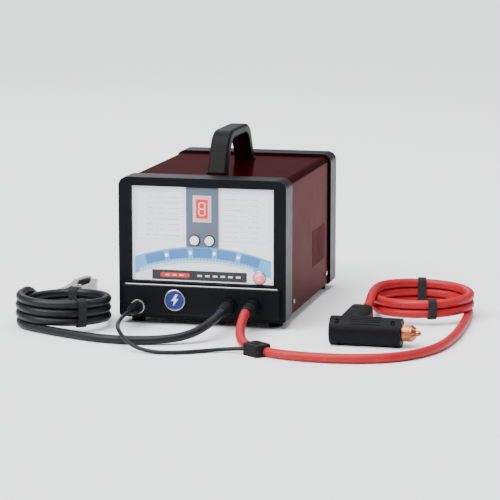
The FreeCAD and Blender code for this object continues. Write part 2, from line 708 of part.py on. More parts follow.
def gland(name, x):
    """A cable gland: threaded body through the wall, six-sided nut and dome."""
    nut = document.addObject("Part::Prism", f"{name}_gland_hex")
    nut.Polygon = 6
    bind(nut, "Circumradius", dims.nut_radius)
    bind(nut, "Height", dims.nut_height)
    place(nut, x, front, outlet_z, TURNS["-Y"])
    dome = cone(f"{name}_gland_dome", dims.dome_radius, dims.boot_root, dims.gland_dome,
                (x, front - dims.nut_height, outlet_z), "-Y")
    neck = rod(f"{name}_gland_neck", dims.outlet_bore, wall_length, (x, frame_inside, outlet_z), "-Y")
    bore = rod(f"{name}_gland_bore", dims.stud_radius, wall_length, (x, frame_inside, outlet_z), "-Y")
    return cut(f"{name}_gland", fuse(f"{name}_gland_body", [nut, dome, neck]), [bore])


def boot(name, x):
    """The tapered rubber sleeve that the cable leaves by."""
    return cone(f"{name}_boot", dims.boot_root, dims.boot_end, dims.boot_length, (x, boot_start, outlet_z), "-Y")


def control_socket():
    """The round socket for the trigger lead."""
    lip = wall_length + dims.socket_lip
    return turned("control_socket", [(0, 0), (dims.socket_radius, 0), (dims.socket_radius, wall_length),
                                     (dims.socket_flange, wall_length), (dims.socket_flange, lip), (0, lip)],
                  (-dims.socket_x, frame_inside, socket_z), "-Y")


def control_plug():
    """The plug on the trigger lead, with its tail."""
    end = dims.plug_length + dims.plug_tail
    return turned("control_plug", [(0, 0), (dims.plug_radius, 0), (dims.plug_radius, dims.plug_length),
                                   (dims.plug_tail_radius, end), (0, end)],
                  (-dims.socket_x, front - dims.socket_lip, socket_z), "-Y")


node(fuse("gland_nuts", [gland(name, x) for name, x in outlets.items()]), "gland_nuts")
node(fuse("cable_boots", [boot(name, x) for name, x in outlets.items()]), "cable_boots")
node(control_socket(), "control_socket")
node(control_plug(), "control_plug")


# ---------------------------------------------------------------- the back: fan, switch and mains gland
fan_front = rear_inside - dims.fan_depth
rotor_start = fan_front + dims.motor_plate + dims.blade_thick


def place_turned(thing, centre, turn, offset):
    """Put a piece's own origin at an offset from a centre, the offset turned with the piece."""
    steps = [turn.multVec(Vector(*axis)) for axis in ((1, 0, 0), (0, 1, 0), (0, 0, 1))]
    spot = []
    for letter, middle in zip("xyz", centre):
        moved = [amount * round(getattr(step, letter), 6) for amount, step in zip(offset, steps)]
        spot.append(size(middle) + moved[0] + moved[1] + moved[2])
    return place(thing, *spot, turn)


def fan_housing():
    """The square fan frame, with the motor plate on four struts and the rotor's pin."""
    half = dims.fan_size / 2
    shell = box("fan_shell", (dims.fan_x - half, dims.fan_x + half), (fan_front, rear_inside),
                (dims.fan_z - half, dims.fan_z + half))
    bore = rod("fan_bore", dims.fan_bore, dims.fan_depth, (dims.fan_x, fan_front, dims.fan_z), "+Y")
    plate_end = fan_front + dims.motor_plate
    centre = (dims.fan_x, fan_front, dims.fan_z)
    plate = rod("fan_motor_plate", dims.motor_radius, dims.motor_plate, centre, "+Y")
    thin, reach = dims.strut / 2, dims.fan_bore + OVERCUT
    across = box("fan_strut_across", (dims.fan_x - reach, dims.fan_x + reach),
                 (fan_front, plate_end), (dims.fan_z - thin, dims.fan_z + thin))
    upright = box("fan_strut_upright", (dims.fan_x - thin, dims.fan_x + thin), (fan_front, plate_end),
                  (dims.fan_z - reach, dims.fan_z + reach))
    pin = rod("fan_pin", dims.pin_radius, dims.motor_plate + dims.pin_length, centre, "+Y")
    return fuse("fan_housing", [cut("fan_frame", shell, [bore]), plate, across, upright, pin])


def fan_rotor():
    """The hub and its pitched blades, turning on the housing's pin."""
    hub = rod("fan_hub", dims.hub_radius, dims.hub_length, (dims.fan_x, rotor_start, dims.fan_z), "+Y")
    blades = []
    middle = (dims.fan_x, rotor_start + dims.hub_length / 2, dims.fan_z)
    for index in range(BLADES):
        around = Rotation(Vector(0, 1, 0), 360 * index / BLADES)
        turn = around.multiply(Rotation(Vector(1, 0, 0), DIMENSIONS["blade_pitch_angle"]))
        blade = document.addObject("Part::Box", f"fan_blade_{index}")
        bind(blade, "Length", dims.blade_radius - dims.hub_radius + OVERCUT)
        bind(blade, "Width", dims.blade_thick)
        bind(blade, "Height", dims.blade_chord)
        offset = (dims.hub_radius - OVERCUT, -dims.blade_thick / 2, -dims.blade_chord / 2)
        blades.append(place_turned(blade, middle, turn, offset))
    bore = rod("fan_hub_bore", dims.pin_radius + dims.running_gap, dims.hub_length,
               (dims.fan_x, rotor_start, dims.fan_z), "+Y")
    return cut("fan_rotor", fuse("fan_wheel", [hub] + blades), [bore])


def fan_guard():
    """The finger guard: rings joined by two bars."""
    centre = (dims.fan_x, rear_face, dims.fan_z)
    pieces = []
    for index in range(GUARD_RINGS):
        radius = dims.guard_radius - dims.guard_pitch * index
        outer = rod(f"guard_outer_{index}", radius, dims.guard_thick, centre, "+Y")
        inner = rod(f"guard_inner_{index}", radius - dims.guard_wire, dims.guard_thick, centre, "+Y")
        pieces.append(cut(f"guard_ring_{index}", outer, [inner]))
    reach, thin = dims.guard_radius - dims.guard_wire / 2, dims.guard_wire / 2
    depth = (rear_face, rear_face + dims.guard_thick)
    pieces.append(box("guard_bar_across", (dims.fan_x - reach, dims.fan_x + reach), depth,
                      (dims.fan_z - thin, dims.fan_z + thin)))
    pieces.append(box("guard_bar_upright", (dims.fan_x - thin, dims.fan_x + thin), depth,
                      (dims.fan_z - reach, dims.fan_z + reach)))
    return fuse("fan_guard", pieces)


rocker_y = back - dims.rocker_reach


def switch_body():
    """The mains switch's body with the well that its rocker tips in."""
    half_x, half_z = dims.switch_width / 2, dims.switch_height / 2
    lip = dims.switch_lip
    inside = box("switch_block", (-dims.switch_x - half_x, -dims.switch_x + half_x),
                 (rear_face - dims.switch_depth, rear_face), (dims.switch_z - half_z, dims.switch_z + half_z))
    bezel = box("switch_bezel", (-dims.switch_x - half_x - lip, -dims.switch_x + half_x + lip),
                (rear_face, rear_face + lip), (dims.switch_z - half_z - lip, dims.switch_z + half_z + lip))
    well_x, well_z = dims.rocker_width / 2 + dims.rocker_gap, dims.rocker_height / 2 + dims.rocker_gap
    well = box("switch_well", (-dims.switch_x - well_x, -dims.switch_x + well_x),
               (back - dims.cavity_depth, back), (dims.switch_z - well_z, dims.switch_z + well_z))
    reach = dims.rocker_width / 2 + dims.trunnion_reach
    trunnion = rod("switch_trunnion_hole", dims.trunnion_radius + dims.running_gap, reach * 2,
                   (-dims.switch_x - reach, rocker_y, dims.switch_z), "+X")
    return cut("switch_body", fuse("switch_shell", [inside, bezel]), [well, trunnion])


def switch_rocker():
    """The rocker on its two trunnions, resting in the off position."""
    body = new_body("switch_rocker")
    half, root, dip = dims.rocker_height / 2, dims.rocker_root / 2, dims.rocker_reach - dims.rocker_dip
    profile = outline(sketch_on(body, "YZ_Plane"), [(-dims.rocker_back, -root), (dims.rocker_reach, -half),
                                                    (dip, 0), (dims.rocker_reach, half),
                                                    (-dims.rocker_back, root)])
    pad(body, profile, dims.rocker_width, midplane=True)
    axle = disc(sketch_on(body, "YZ_Plane"), zero, zero, dims.trunnion_radius)
    pad(body, axle, dims.rocker_width + (dims.trunnion_reach - dims.running_gap) * 2, midplane=True)
    return place(body, -dims.switch_x, rocker_y, dims.switch_z,
                 Rotation(Vector(1, 0, 0), -DIMENSIONS["rocker_tilt"]))


def mains_gland():
    """The gland that the mains lead enters by."""
    start, nut = dims.rear_wall, dims.rear_wall + dims.mains_nut
    end = nut + dims.mains_dome
    return turned("mains_gland", [(0, 0), (dims.mains_bore, 0), (dims.mains_bore, start),
                                  (dims.mains_nut_radius, start), (dims.mains_nut_radius, nut),
                                  (dims.mains_bore, end), (0, end)],
                  (-dims.switch_x, rear_inside, dims.mains_z), "+Y")


node(fan_housing(), "fan_housing")
node(fan_rotor(), "fan_rotor")
node(fan_guard(), "fan_guard")
node(switch_body(), "switch_body")
node(switch_rocker(), "switch_rocker")
node(mains_gland(), "mains_gland")


# ---------------------------------------------------------------- the works
core_front = dims.core_y - dims.core_depth / 2
core_back = dims.core_y + dims.core_depth / 2
coil_wall = dims.core_leg - dims.coil_gap * 2
coil_floor = tray_top + dims.core_leg + dims.coil_gap
secondary_floor = coil_floor + dims.primary_height + dims.coil_gap


def transformer_core():
    """The laminated iron core: a block with two windows beside its middle leg."""
    half = dims.core_width / 2
    block = box("core_block", (dims.core_x - half, dims.core_x + half), (core_front, core_back),
                (tray_top, tray_top + dims.core_height))
    windows = []
    for name, near, far in (("left", -2, -1), ("right", 1, 2)):
        windows.append(box(f"core_window_{name}", (dims.core_x + dims.core_leg * near,
                                                   dims.core_x + dims.core_leg * far), (core_front, core_back),
                           (tray_top + dims.core_leg, tray_top + dims.core_height - dims.core_leg)))
    return cut("transformer_core", block, windows)


def winding(name, floor, height):
    """A rectangular ring around the core's middle leg."""
    inner_x, inner_y = dims.core_leg + dims.coil_gap, dims.core_depth / 2 + dims.coil_gap
    level = (floor, floor + height)
    outer = box(name + "_outer", (dims.core_x - inner_x - coil_wall, dims.core_x + inner_x + coil_wall),
                (dims.core_y - inner_y - coil_wall, dims.core_y + inner_y + coil_wall), level)
    inner = box(name + "_inner", (dims.core_x - inner_x, dims.core_x + inner_x),
                (dims.core_y - inner_y, dims.core_y + inner_y), level)
    return outer, inner


def secondary_turn():
    """The heavy copper turn, open at the front between its two ends."""
    outer, inner = winding("secondary", secondary_floor, dims.secondary_height)
    slot = dims.secondary_slot / 2
    opening = box("secondary_slot_block", (dims.core_x - slot, dims.core_x + slot),
                  (core_front - dims.coil_gap - coil_wall, core_front),
                  (secondary_floor, secondary_floor + dims.secondary_height))
    return cut("secondary_turn", outer, [inner, opening])


def bracket(name, face, way):
    """One folded steel bracket from the core's face down to the tray."""
    body = new_body(name)
    reach, thick = dims.bracket_reach * way, dims.clamp_sheet * way
    fold = outline(sketch_on(body, "YZ_Plane", dims.core_x), [
        (face, tray_top), (face + reach, tray_top), (face + reach, tray_top + dims.clamp_sheet),
        (face + thick, tray_top + dims.clamp_sheet), (face + thick, tray_top + dims.bracket_height),
        (face, tray_top + dims.bracket_height)])
    pad(body, fold, dims.bracket_width, midplane=True)
    return body


def busbar(name, x):
    """A copper bar from the secondary's end down to the outlet, with the stud that the cable's lug takes."""
    body = new_body(name + "_bar")
    coil_front = core_front - dims.coil_gap - coil_wall
    face = frame_inside + dims.bar_drop_gap
    low = secondary_floor + dims.secondary_height / 2 - dims.bar_thick / 2
    profile = outline(sketch_on(body, "YZ_Plane", x), [
        (coil_front, low), (coil_front, low + dims.bar_thick), (face, low + dims.bar_thick),
        (face, outlet_z - dims.bar_foot), (face + dims.bar_thick, outlet_z - dims.bar_foot),
        (face + dims.bar_thick, low)])
    pad(body, profile, dims.bar_width, midplane=True)
    stud = rod(f"{name}_stud", dims.stud_radius, face - front, (x, face, outlet_z), "-Y")
    return fuse(name + "_busbar", [body, stud])


def heatsink():
    """The finned aluminium block, fins down."""
    body = new_body("heatsink")
    left = -dims.sink_x - dims.sink_width / 2
    pitch = (dims.sink_width - dims.fin_thick) / (FINS - 1)
    root = tray_top + dims.fin_height
    top = root + dims.sink_base
    corners = [(left + dims.sink_width, top), (left, top)]
    for index in range(FINS):
        fin = left + pitch * index
        if index:
            corners.append((fin, root))
        corners += [(fin, tray_top), (fin + dims.fin_thick, tray_top)]
        if index < FINS - 1:
            corners.append((fin + dims.fin_thick, root))
    comb = outline(sketch_on(body, "XZ_Plane", -(dims.sink_y - dims.sink_depth / 2)), corners)
    pad(body, comb, dims.sink_depth, against=True)
    return body


sink_top = tray_top + dims.fin_height + dims.sink_base
module_top = sink_top + dims.module_height


def thyristor_module():
    """The switching module, bolted flat on the heatsink."""
    half_x, half_y = dims.module_width / 2, dims.module_depth / 2
    return box("thyristor_module", (-dims.sink_x - half_x, -dims.sink_x + half_x),
               (dims.sink_y - half_y, dims.sink_y + half_y), (sink_top, module_top))


def power_board():
    """The drive board on the module, with its two capacitors and a relay."""
    half_x, half_y = dims.sink_width / 2, dims.drive_board / 2
    top = module_top + dims.board_thick
    card = box("power_board_card", (-dims.sink_x - half_x, -dims.sink_x + half_x),
               (dims.sink_y - half_y, dims.sink_y + half_y), (module_top, top))
    parts = [card]
    for way in (-1, 1):
        parts.append(rod(f"capacitor_{way + 2}", dims.capacitor_radius, dims.capacitor_height,
                         (-dims.sink_x + half_x / 2, dims.sink_y + half_y * way / 2, top)))
    relay_x, relay = -dims.sink_x - half_x / 2, dims.relay / 2
    parts.append(box("relay_block", (relay_x - relay, relay_x + relay), (dims.sink_y - relay, dims.sink_y + relay),
                     (top, top + dims.relay)))
    return fuse("power_board", parts)


primary_outer, primary_inner = winding("primary", coil_floor, dims.primary_height)
node(transformer_core(), "transformer_core")
node(cut("primary_coil", primary_outer, [primary_inner]), "primary_coil")
node(secondary_turn(), "secondary_turn")
node(fuse("core_brackets", [bracket("bracket_front", core_front, -1), bracket("bracket_back", core_back, 1)]),
     "core_brackets")
node(fuse("busbars", [busbar(name, x) for name, x in outlets.items()]), "busbars")
node(heatsink(), "heatsink")
node(thyristor_module(), "thyristor_module")
node(power_board(), "power_board")


# ---------------------------------------------------------------- the pistol gun, lying on its side
nose = dims.gun_rear + dims.barrel_length
butt = dims.gun_y + dims.grip_length
grip_mid = dims.grip_x + dims.grip_depth / 2
grip_front = dims.grip_x + dims.grip_depth
pivot = (grip_front - dims.pivot_back, barrel_side + dims.pivot_drop)
trigger_top = barrel_side + dims.trigger_gap
trigger_low = trigger_top + dims.trigger_length
screw_spots = [(dims.gun_rear + along, dims.gun_y + dims.gun_boss_offset * way)
               for along in (dims.gun_boss_rear, dims.gun_boss_front) for way in (-1, 1)]
screw_spots.append((grip_mid, dims.gun_y + dims.grip_boss))


def grip_block(name, inset):
    """The grip's rounded block, drawn in by the wall for its hollow."""
    body = new_body(name)
    half = dims.grip_width / 2 - inset
    section = rectangle(sketch_on(body, "XZ_Plane", -dims.gun_y), (dims.grip_x + inset, grip_front - inset),
                        (gun_z - half, gun_z + half))
    pad(body, section, dims.grip_length - inset, against=True)
    fillet(body, dims.grip_corner - inset, lambda edge: runs_along(edge, "y"))
    return body


def gun_casing():
    """Barrel and grip as one hollow shape, with screw bosses, before it is split into its two shells."""
    wall = dims.gun_wall
    axis = (dims.gun_rear, dims.gun_y, gun_z)
    barrel = rod("barrel_outside", dims.barrel_radius, dims.barrel_length, axis, "+X")
    outside = fuse("gun_outside", [barrel, grip_block("grip_outside", zero)])
    bore = rod("barrel_inside", dims.barrel_radius - wall, dims.barrel_length - wall * 2,
               (dims.gun_rear + wall, dims.gun_y, gun_z), "+X")
    shell = cut("gun_hollow", outside, [bore, grip_block("grip_inside", wall)])
    bosses = [rod(f"gun_boss_{index}", dims.gun_boss_radius, dims.gun_boss_half * 2,
                  (x, y, gun_z - dims.gun_boss_half)) for index, (x, y) in enumerate(screw_spots)]
    slot_half = dims.trigger_slot / 2
    tools = [rod("gun_nose_hole", dims.holder_radius, wall, (nose - wall, dims.gun_y, gun_z), "+X"),
             rod("gun_butt_hole", dims.gun_boot_neck, wall, (grip_mid, butt - wall, gun_z), "+Y"),
             box("gun_trigger_slot", (grip_front - wall, grip_front),
                 (trigger_top - OVERCUT, trigger_low + dims.slot_spare),
                 (gun_z - slot_half, gun_z + slot_half))]
    for index, (x, y) in enumerate(screw_spots):
        tools.append(rod(f"gun_screw_hole_{index}", dims.gun_screw_radius, dims.gun_screw_up + dims.gun_screw_down,
                         (x, y, gun_z - dims.gun_screw_down)))
        tools.append(rod(f"gun_screw_well_{index}", dims.gun_screw_head, dims.barrel_radius,
                         (x, y, gun_z + dims.gun_screw_up)))
    return cut("gun_casing", fuse("gun_bossed", [shell] + bosses), tools)


def gun_shell(label, casing, low, high):
    """One half of the casing, above or below its middle plane."""
    half = box(label + "_half", (dims.gun_rear, nose), (dims.gun_y - dims.barrel_radius, butt), (low, high))
    return common(label, casing, half)


def trigger():
    """The trigger, hung on its pin at the top of the grip."""
    body = new_body("gun_trigger")
    lug_x, lug_y = pivot[0] - dims.trigger_lug, pivot[1] + dims.trigger_lug
    blade = outline(sketch_on(body, "XY_Plane", gun_z), [
        (lug_x, trigger_top), (grip_front + dims.trigger_brow, trigger_top),
        (grip_front + dims.trigger_hollow, trigger_top + dims.trigger_waist),
        (grip_front + dims.trigger_toe, trigger_low), (pivot[0], trigger_low),
        (pivot[0], pivot[1] + dims.trigger_heel), (lug_x, lug_y)])
    pad(body, blade, dims.trigger_thick, midplane=True)
    bore = disc(sketch_on(body, "XY_Plane", gun_z), *pivot, dims.trigger_pin_radius + dims.running_gap)
    pocket(body, bore, dims.trigger_thick, midplane=True)
    return body


def gun_screws():
    """Five screws that hold the two shells together."""
    screws = []
    for index, (x, y) in enumerate(screw_spots):
        shank = rod(f"gun_screw_shank_{index}", dims.gun_screw_radius, dims.gun_screw_up + dims.gun_screw_down,
                    (x, y, gun_z - dims.gun_screw_down))
        head = rod(f"gun_screw_head_{index}", dims.gun_screw_head, dims.gun_screw_cap,
                   (x, y, gun_z + dims.gun_screw_up))
        screws.append(fuse(f"gun_screw_{index}", [shank, head]))
    return fuse("gun_screws", screws)


def electrode_holder():
    """The copper holder along the barrel, bored at its end for the electrode."""
    start = dims.gun_rear + dims.gun_wall
    end = nose + dims.holder_reach
    holder = rod("holder_rod", dims.holder_radius, end - start, (start, dims.gun_y, gun_z), "+X")
    seat = rod("holder_seat", dims.electrode_radius, dims.electrode_seat,
               (end - dims.electrode_seat, dims.gun_y, gun_z), "+X")
    return cut("electrode_holder", holder, [seat])


def collet_nut():
    """The nut that grips the electrode, turning on the holder's end."""
    bore, shoulder = dims.holder_radius + dims.nut_bore_gap, dims.holder_reach + dims.fit
    return turned("collet_nut", [(bore, 0), (dims.nut_outer, 0), (dims.nut_outer, shoulder),
                                 (dims.holder_radius, dims.nut_length), (dims.nut_neck, dims.nut_length),
                                 (dims.nut_neck, shoulder), (bore, shoulder)],
                  (nose + dims.fit, dims.gun_y, gun_z), "+X")


def electrode():
    """The replaceable copper electrode with its narrowed tip."""
    shoulder = dims.electrode_length - dims.electrode_radius
    return turned("electrode_tip", [(0, 0), (dims.electrode_radius, 0), (dims.electrode_radius, shoulder),
                                    (dims.electrode_flat, dims.electrode_length), (0, dims.electrode_length)],
                  (nose + dims.holder_reach - dims.electrode_seat, dims.gun_y, gun_z), "+X")


def gun_boot():
    """The rubber sleeve in the grip's butt, held by its flange inside."""
    inside, wall, end = dims.gun_boot_inside, dims.gun_wall, dims.gun_boot_inside + dims.gun_boot_length
    return turned("gun_cable_boot", [(0, 0), (dims.gun_boot_flange, 0), (dims.gun_boot_flange, inside - wall),
                                     (dims.gun_boot_neck, inside - wall), (dims.gun_boot_neck, inside),
                                     (dims.gun_boot_root, inside), (dims.boot_end, end), (0, end)],
                  (grip_mid, butt - inside, gun_z), "+Y")


def gun_switch():
    """The trigger's switch block, standing on the lower shell's inside."""
    right = pivot[0] - dims.switch_block_back
    low = barrel_side + dims.switch_block_drop
    return box("gun_switch", (right - dims.switch_block_depth, right), (low, low + dims.switch_block_length),
               (gun_z - dims.grip_width / 2 + dims.gun_wall, gun_z + dims.trigger_slot / 2))


casing = gun_casing()
pin_half = dims.grip_width / 2 - dims.gun_wall - dims.pin_end_gap
node(gun_shell("gun_shell_lower", casing, zero, gun_z), "gun_shell_lower")
node(gun_shell("gun_shell_upper", casing, gun_z, gun_z * 2), "gun_shell_upper")
node(trigger(), "gun_trigger")
node(rod("trigger_pin", dims.trigger_pin_radius, pin_half * 2, (*pivot, gun_z - pin_half)), "trigger_pin")
node(gun_switch(), "gun_switch")
node(electrode_holder(), "electrode_holder")
node(collet_nut(), "collet_nut")
node(electrode(), "electrode_tip")
node(gun_screws(), "gun_screws")
node(gun_boot(), "gun_cable_boot")


# ---------------------------------------------------------------- the earth clamp, lying on its side
clamp_at = (dims.clamp_x, dims.clamp_y)


def lever(name, way, low, high):
    """One lever: handle, the part beside the pin, and jaw; the other lever is its mirror image."""
    body = new_body(name)
    x, y = clamp_at
    spread, end = dims.handle_spread, dims.handle_end / 2
    side_view = [(-spread - end, -dims.lever_length), (end - spread, -dims.lever_length),
                 (-dims.lever_gap, -dims.lever_shoulder), (-dims.lever_gap, dims.lever_shoulder),
                 (-dims.jaw_inner, dims.jaw_root), (-dims.fit, dims.jaw_reach - dims.jaw_step),
                 (-dims.fit, dims.jaw_reach), (-dims.jaw_tip, dims.jaw_reach), (-dims.jaw_outer, dims.jaw_root),
                 (-dims.lever_outer, dims.lever_neck), (-dims.lever_outer, -dims.lever_waist)]
    profile = outline(sketch_on(body, "XY_Plane", low), [(x + across * way, y + along)
                                                         for across, along in side_view])
    pad(body, profile, high - low)
    return body


def fixed_lever():
    """The lever that the cable enters, with two ears around the other lever's lug."""
    x, y = clamp_at
    depth = dims.clamp_depth
    ears = [rod(f"clamp_ear_{name}", dims.lug_radius, dims.ear_thick, (x, y, level))
            for name, level in (("low", zero), ("high", depth - dims.ear_thick))]
    room = rod("clamp_lug_room", dims.lug_room, depth - dims.ear_thick * 2, (x, y, dims.ear_thick))
    bore = rod("clamp_fixed_bore", dims.clamp_pin_radius, depth, (x, y, 0))
    arm = fuse("clamp_fixed_arm", [lever("clamp_fixed_profile", 1, zero, depth)] + ears)
    return cut("clamp_fixed_lever", arm, [room, bore])


def moving_lever():
    """The lever that opens the jaws, with its lug between the ears and room for the spring."""
    x, y = clamp_at
    low = dims.ear_thick + dims.fit
    high = dims.clamp_depth - low
    lug = rod("clamp_lug", dims.lug_radius, high - low, (x, y, low))
    middle = dims.clamp_depth / 2
    spring_room = dims.spring_height / 2 + dims.fit
    room = rod("clamp_spring_room", dims.lug_radius + dims.fit, spring_room * 2, (x, y, middle - spring_room))
    bore = rod("clamp_moving_bore", dims.clamp_pin_radius + dims.running_gap, high - low, (x, y, low))
    arm = fuse("clamp_moving_arm", [lever("clamp_moving_profile", -1, low, high), lug])
    return cut("clamp_moving_lever", arm, [room, bore])


def clamp_spring():
    """The outer shape of the coiled spring on the pin."""
    start = (*clamp_at, dims.clamp_depth / 2 - dims.spring_height / 2)
    outside = rod("clamp_spring_outside", dims.clamp_spring_radius, dims.spring_height, start)
    inside = rod("clamp_spring_inside", dims.clamp_pin_radius, dims.spring_height, start)
    return cut("clamp_spring", outside, [inside])


node(fixed_lever(), "clamp_fixed_lever")
node(moving_lever(), "clamp_moving_lever")
node(rod("clamp_pin", dims.clamp_pin_radius, dims.clamp_depth, (*clamp_at, 0)), "clamp_pin")
node(clamp_spring(), "clamp_spring")


# ---------------------------------------------------------------- the cables
GUN_LEAD = [(80, -240, 34), (82, -286, 23), (100, -343, 7), (160, -388, 7), (250, -398, 7), (330, -372, 7),
            (376, -302, 7), (388, -205, 7), (388, -112, 7), (384, -30, 7)]
GUN_TAIL = [(240, -30, 42), (239.5, -64, 40), (240.5, -102, 27), (240, -138, 21)]
EARTH_LEAD = [(44, -240, 34), (40, -280, 26), (12, -318, 11), (-40, -337, 6.5), (-106, -341, 6.5),
              (-178, -313, 6.5), (-239, -282.16, 6.5)]
EARTH_TAIL = [(-272, -225, 47.67), (-272.5, -192, 46), (-274.5, -150, 25), (-274, -112, 12)]
CONTROL_LEAD = [(-98, -236, 28), (-98, -266, 29.5), (-95, -312, 26), (-82, -356, 25), (-58, -384, 11),
                (-24, -397, 3.2), (18, -392, 3.2), (50, -372, 3.2), (82, -358, 5), (110.4, -364.7, 8)]
ARC_SHARE = 0.45


def tube(label, route, radius):
    """A cable: straight runs between the route's points, joined by arcs as large as the runs allow."""
    points = [Vector(*point) for point in route]
    edges, bends = [], []
    start = points[0]
    for before, corner, after in zip(points, points[1:], points[2:]):
        way_in, way_out = (corner - before).normalize(), (after - corner).normalize()
        turn = way_in.getAngle(way_out)
        reach = ARC_SHARE * min(corner.distanceToPoint(before), corner.distanceToPoint(after))
        bend = reach / math.tan(turn / 2)
        inward = (way_out - way_in).normalize()
        middle = corner + inward * (bend / math.cos(turn / 2) - bend)
        arc_start, arc_end = corner - way_in * reach, corner + way_out * reach
        edges.append(Part.LineSegment(start, arc_start).toShape())
        edges.append(Part.Arc(arc_start, middle, arc_end).toShape())
        bends.append(bend)
        start = arc_end
    edges.append(Part.LineSegment(start, points[-1]).toShape())
    path = Part.Wire(edges)
    section = Part.Wire(Part.makeCircle(radius.value, points[0], points[1] - points[0]))
    solid = path.makePipeShell([section], True, False)
    expected = math.pi * radius.value ** 2 * path.Length
    if abs(solid.Volume / expected - 1) > 0.01:
        raise ValueError(f"{label} isn't a full tube")
    print(f"{label}: {path.Length:.0f} mm long, bends {', '.join(f'{bend:.0f}' for bend in bends)} mm")
    cable = document.addObject("Part::Feature", label)
    cable.Shape = solid
    return cable


def coil(label, x, y, radius, cable, turns):
    """The outer shape of a stack of turns lying on the table."""
    height = cable * 2 * (turns + 1)
    outside = rod(label + "_outside", radius + cable, height, (x, y, 0))
    inside = rod(label + "_inside", radius - cable, height, (x, y, 0))
    return cut(label, outside, [inside])


def branch():
    """The moulded piece where the trigger lead joins the gun cable and runs on inside its jacket."""
    body = new_body("cable_branch")
    half_x, half_y = dims.branch_length / 2, dims.branch_width / 2
    pad(body, rectangle(sketch_on(body, "XY_Plane"), (-half_x, half_x), (-half_y, half_y)), dims.branch_height)
    fillet(body, dims.branch_corner, lambda edge: runs_along(edge, "z"))
    fillet(body, dims.branch_edge, lambda edge: lies_at(edge, "z", dims.branch_height))
    before, after = Vector(*GUN_LEAD[2]), Vector(*GUN_LEAD[3])
    way = (after - before).normalize()
    middle = (before + after) / 2
    outward = Vector(way.y, -way.x, 0)
    return place(body, middle.x + dims.branch_shift * outward.x, middle.y + dims.branch_shift * outward.y, 0,
                 Rotation(Vector(1, 0, 0), way))


node(tube("gun_cable_lead", GUN_LEAD, dims.cable_radius), "gun_cable_lead")
node(coil("gun_cable_coil", dims.gun_coil_x, dims.gun_coil_y, dims.gun_coil_radius, dims.cable_radius,
          dims.gun_coil_turns), "gun_cable_coil")
node(tube("gun_cable_tail", GUN_TAIL, dims.cable_radius), "gun_cable_tail")
node(tube("earth_cable_lead", EARTH_LEAD, dims.earth_radius), "earth_cable_lead")
node(coil("earth_cable_coil", dims.earth_coil_x, dims.earth_coil_y, dims.earth_coil_radius, dims.earth_radius,
          dims.earth_coil_turns), "earth_cable_coil")
node(tube("earth_cable_tail", EARTH_TAIL, dims.earth_radius), "earth_cable_tail")
node(tube("control_lead", CONTROL_LEAD, dims.lead_radius), "control_lead")
node(branch(), "cable_branch")


# ---------------------------------------------------------------- last checks, then one file for each piece
def finish():
    """Recompute, make sure that every object is sound and write the pieces."""
    document.recompute()
    for thing in document.Objects:
        if "Invalid" in thing.State or "Error" in thing.State:
            raise ValueError(f"{thing.Label} didn't compute")
    os.makedirs("parts", exist_ok=True)
    for piece in nodes:
        if piece.Shape.isNull() or not piece.Shape.isValid():
            raise ValueError(f"{piece.Label} isn't a sound solid")
    for piece in nodes:
        piece.Shape.exportStep(f"parts/{piece.Label}.step")
        print(f"{piece.Label}: {len(piece.Shape.Solids)} solid(s), {piece.Shape.Volume:.1f} mm3")


finish()
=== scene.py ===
# %% [markdown]
# # A spot welder for car bodies
# The power unit is a folded steel case between two moulded end frames. It feeds a pistol gun through a red
# cable and takes the current back through a black cable and an earth clamp. The design comes from the
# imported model, which is loaded as a fixed frame, so this script never moves or resizes a part of it. The
# script adds finishes, soft cables and the small detail that a drawing of the working parts leaves out.

import json
import math

import bmesh
import bpy
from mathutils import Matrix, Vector


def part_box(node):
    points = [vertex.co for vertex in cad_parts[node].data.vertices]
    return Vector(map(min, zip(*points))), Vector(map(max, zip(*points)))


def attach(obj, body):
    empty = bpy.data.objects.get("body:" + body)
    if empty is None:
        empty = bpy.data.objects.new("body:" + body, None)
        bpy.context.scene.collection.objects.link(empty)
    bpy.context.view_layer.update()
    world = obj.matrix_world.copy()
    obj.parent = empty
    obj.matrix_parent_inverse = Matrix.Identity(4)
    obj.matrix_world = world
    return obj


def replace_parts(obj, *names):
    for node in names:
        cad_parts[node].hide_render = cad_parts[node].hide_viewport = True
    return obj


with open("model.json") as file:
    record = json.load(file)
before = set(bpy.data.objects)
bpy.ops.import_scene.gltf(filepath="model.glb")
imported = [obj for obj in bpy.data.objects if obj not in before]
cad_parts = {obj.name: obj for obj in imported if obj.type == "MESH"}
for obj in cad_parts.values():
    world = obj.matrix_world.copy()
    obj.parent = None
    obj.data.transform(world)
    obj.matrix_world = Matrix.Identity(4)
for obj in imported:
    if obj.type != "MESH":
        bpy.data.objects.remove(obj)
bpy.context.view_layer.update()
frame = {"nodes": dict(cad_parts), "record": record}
nodes = frame["nodes"]
MM = 0.001

# %% [markdown]
# ## Camera, floor and light
# A long lens a few metres away keeps the case's edges nearly parallel, as in a catalogue picture. The
# camera stands a little to the right of the panel and a little above it. The floor is one large pale sheet.
# The light comes from big soft boxes, because a glossy case shows every lamp as a reflection, and a soft
# box reflects as a smooth band.

# %% Camera
AZIMUTH, ELEVATION, DISTANCE = math.radians(13.5), math.radians(9.6), 3.46
LENS = 162
TARGET = Vector((0.054, -0.100, 0.105))


def outward(azimuth, elevation):
    """The direction from the object towards a viewer; azimuth 0 is straight in front."""
    level = math.cos(elevation)
    return Vector((math.sin(azimuth) * level, -math.cos(azimuth) * level, math.sin(elevation)))


def aim(thing, place, target):
    """Stand a camera or a lamp at a place and turn it to a target."""
    thing.location = place
    thing.rotation_euler = (target - place).to_track_quat("-Z", "Y").to_euler()


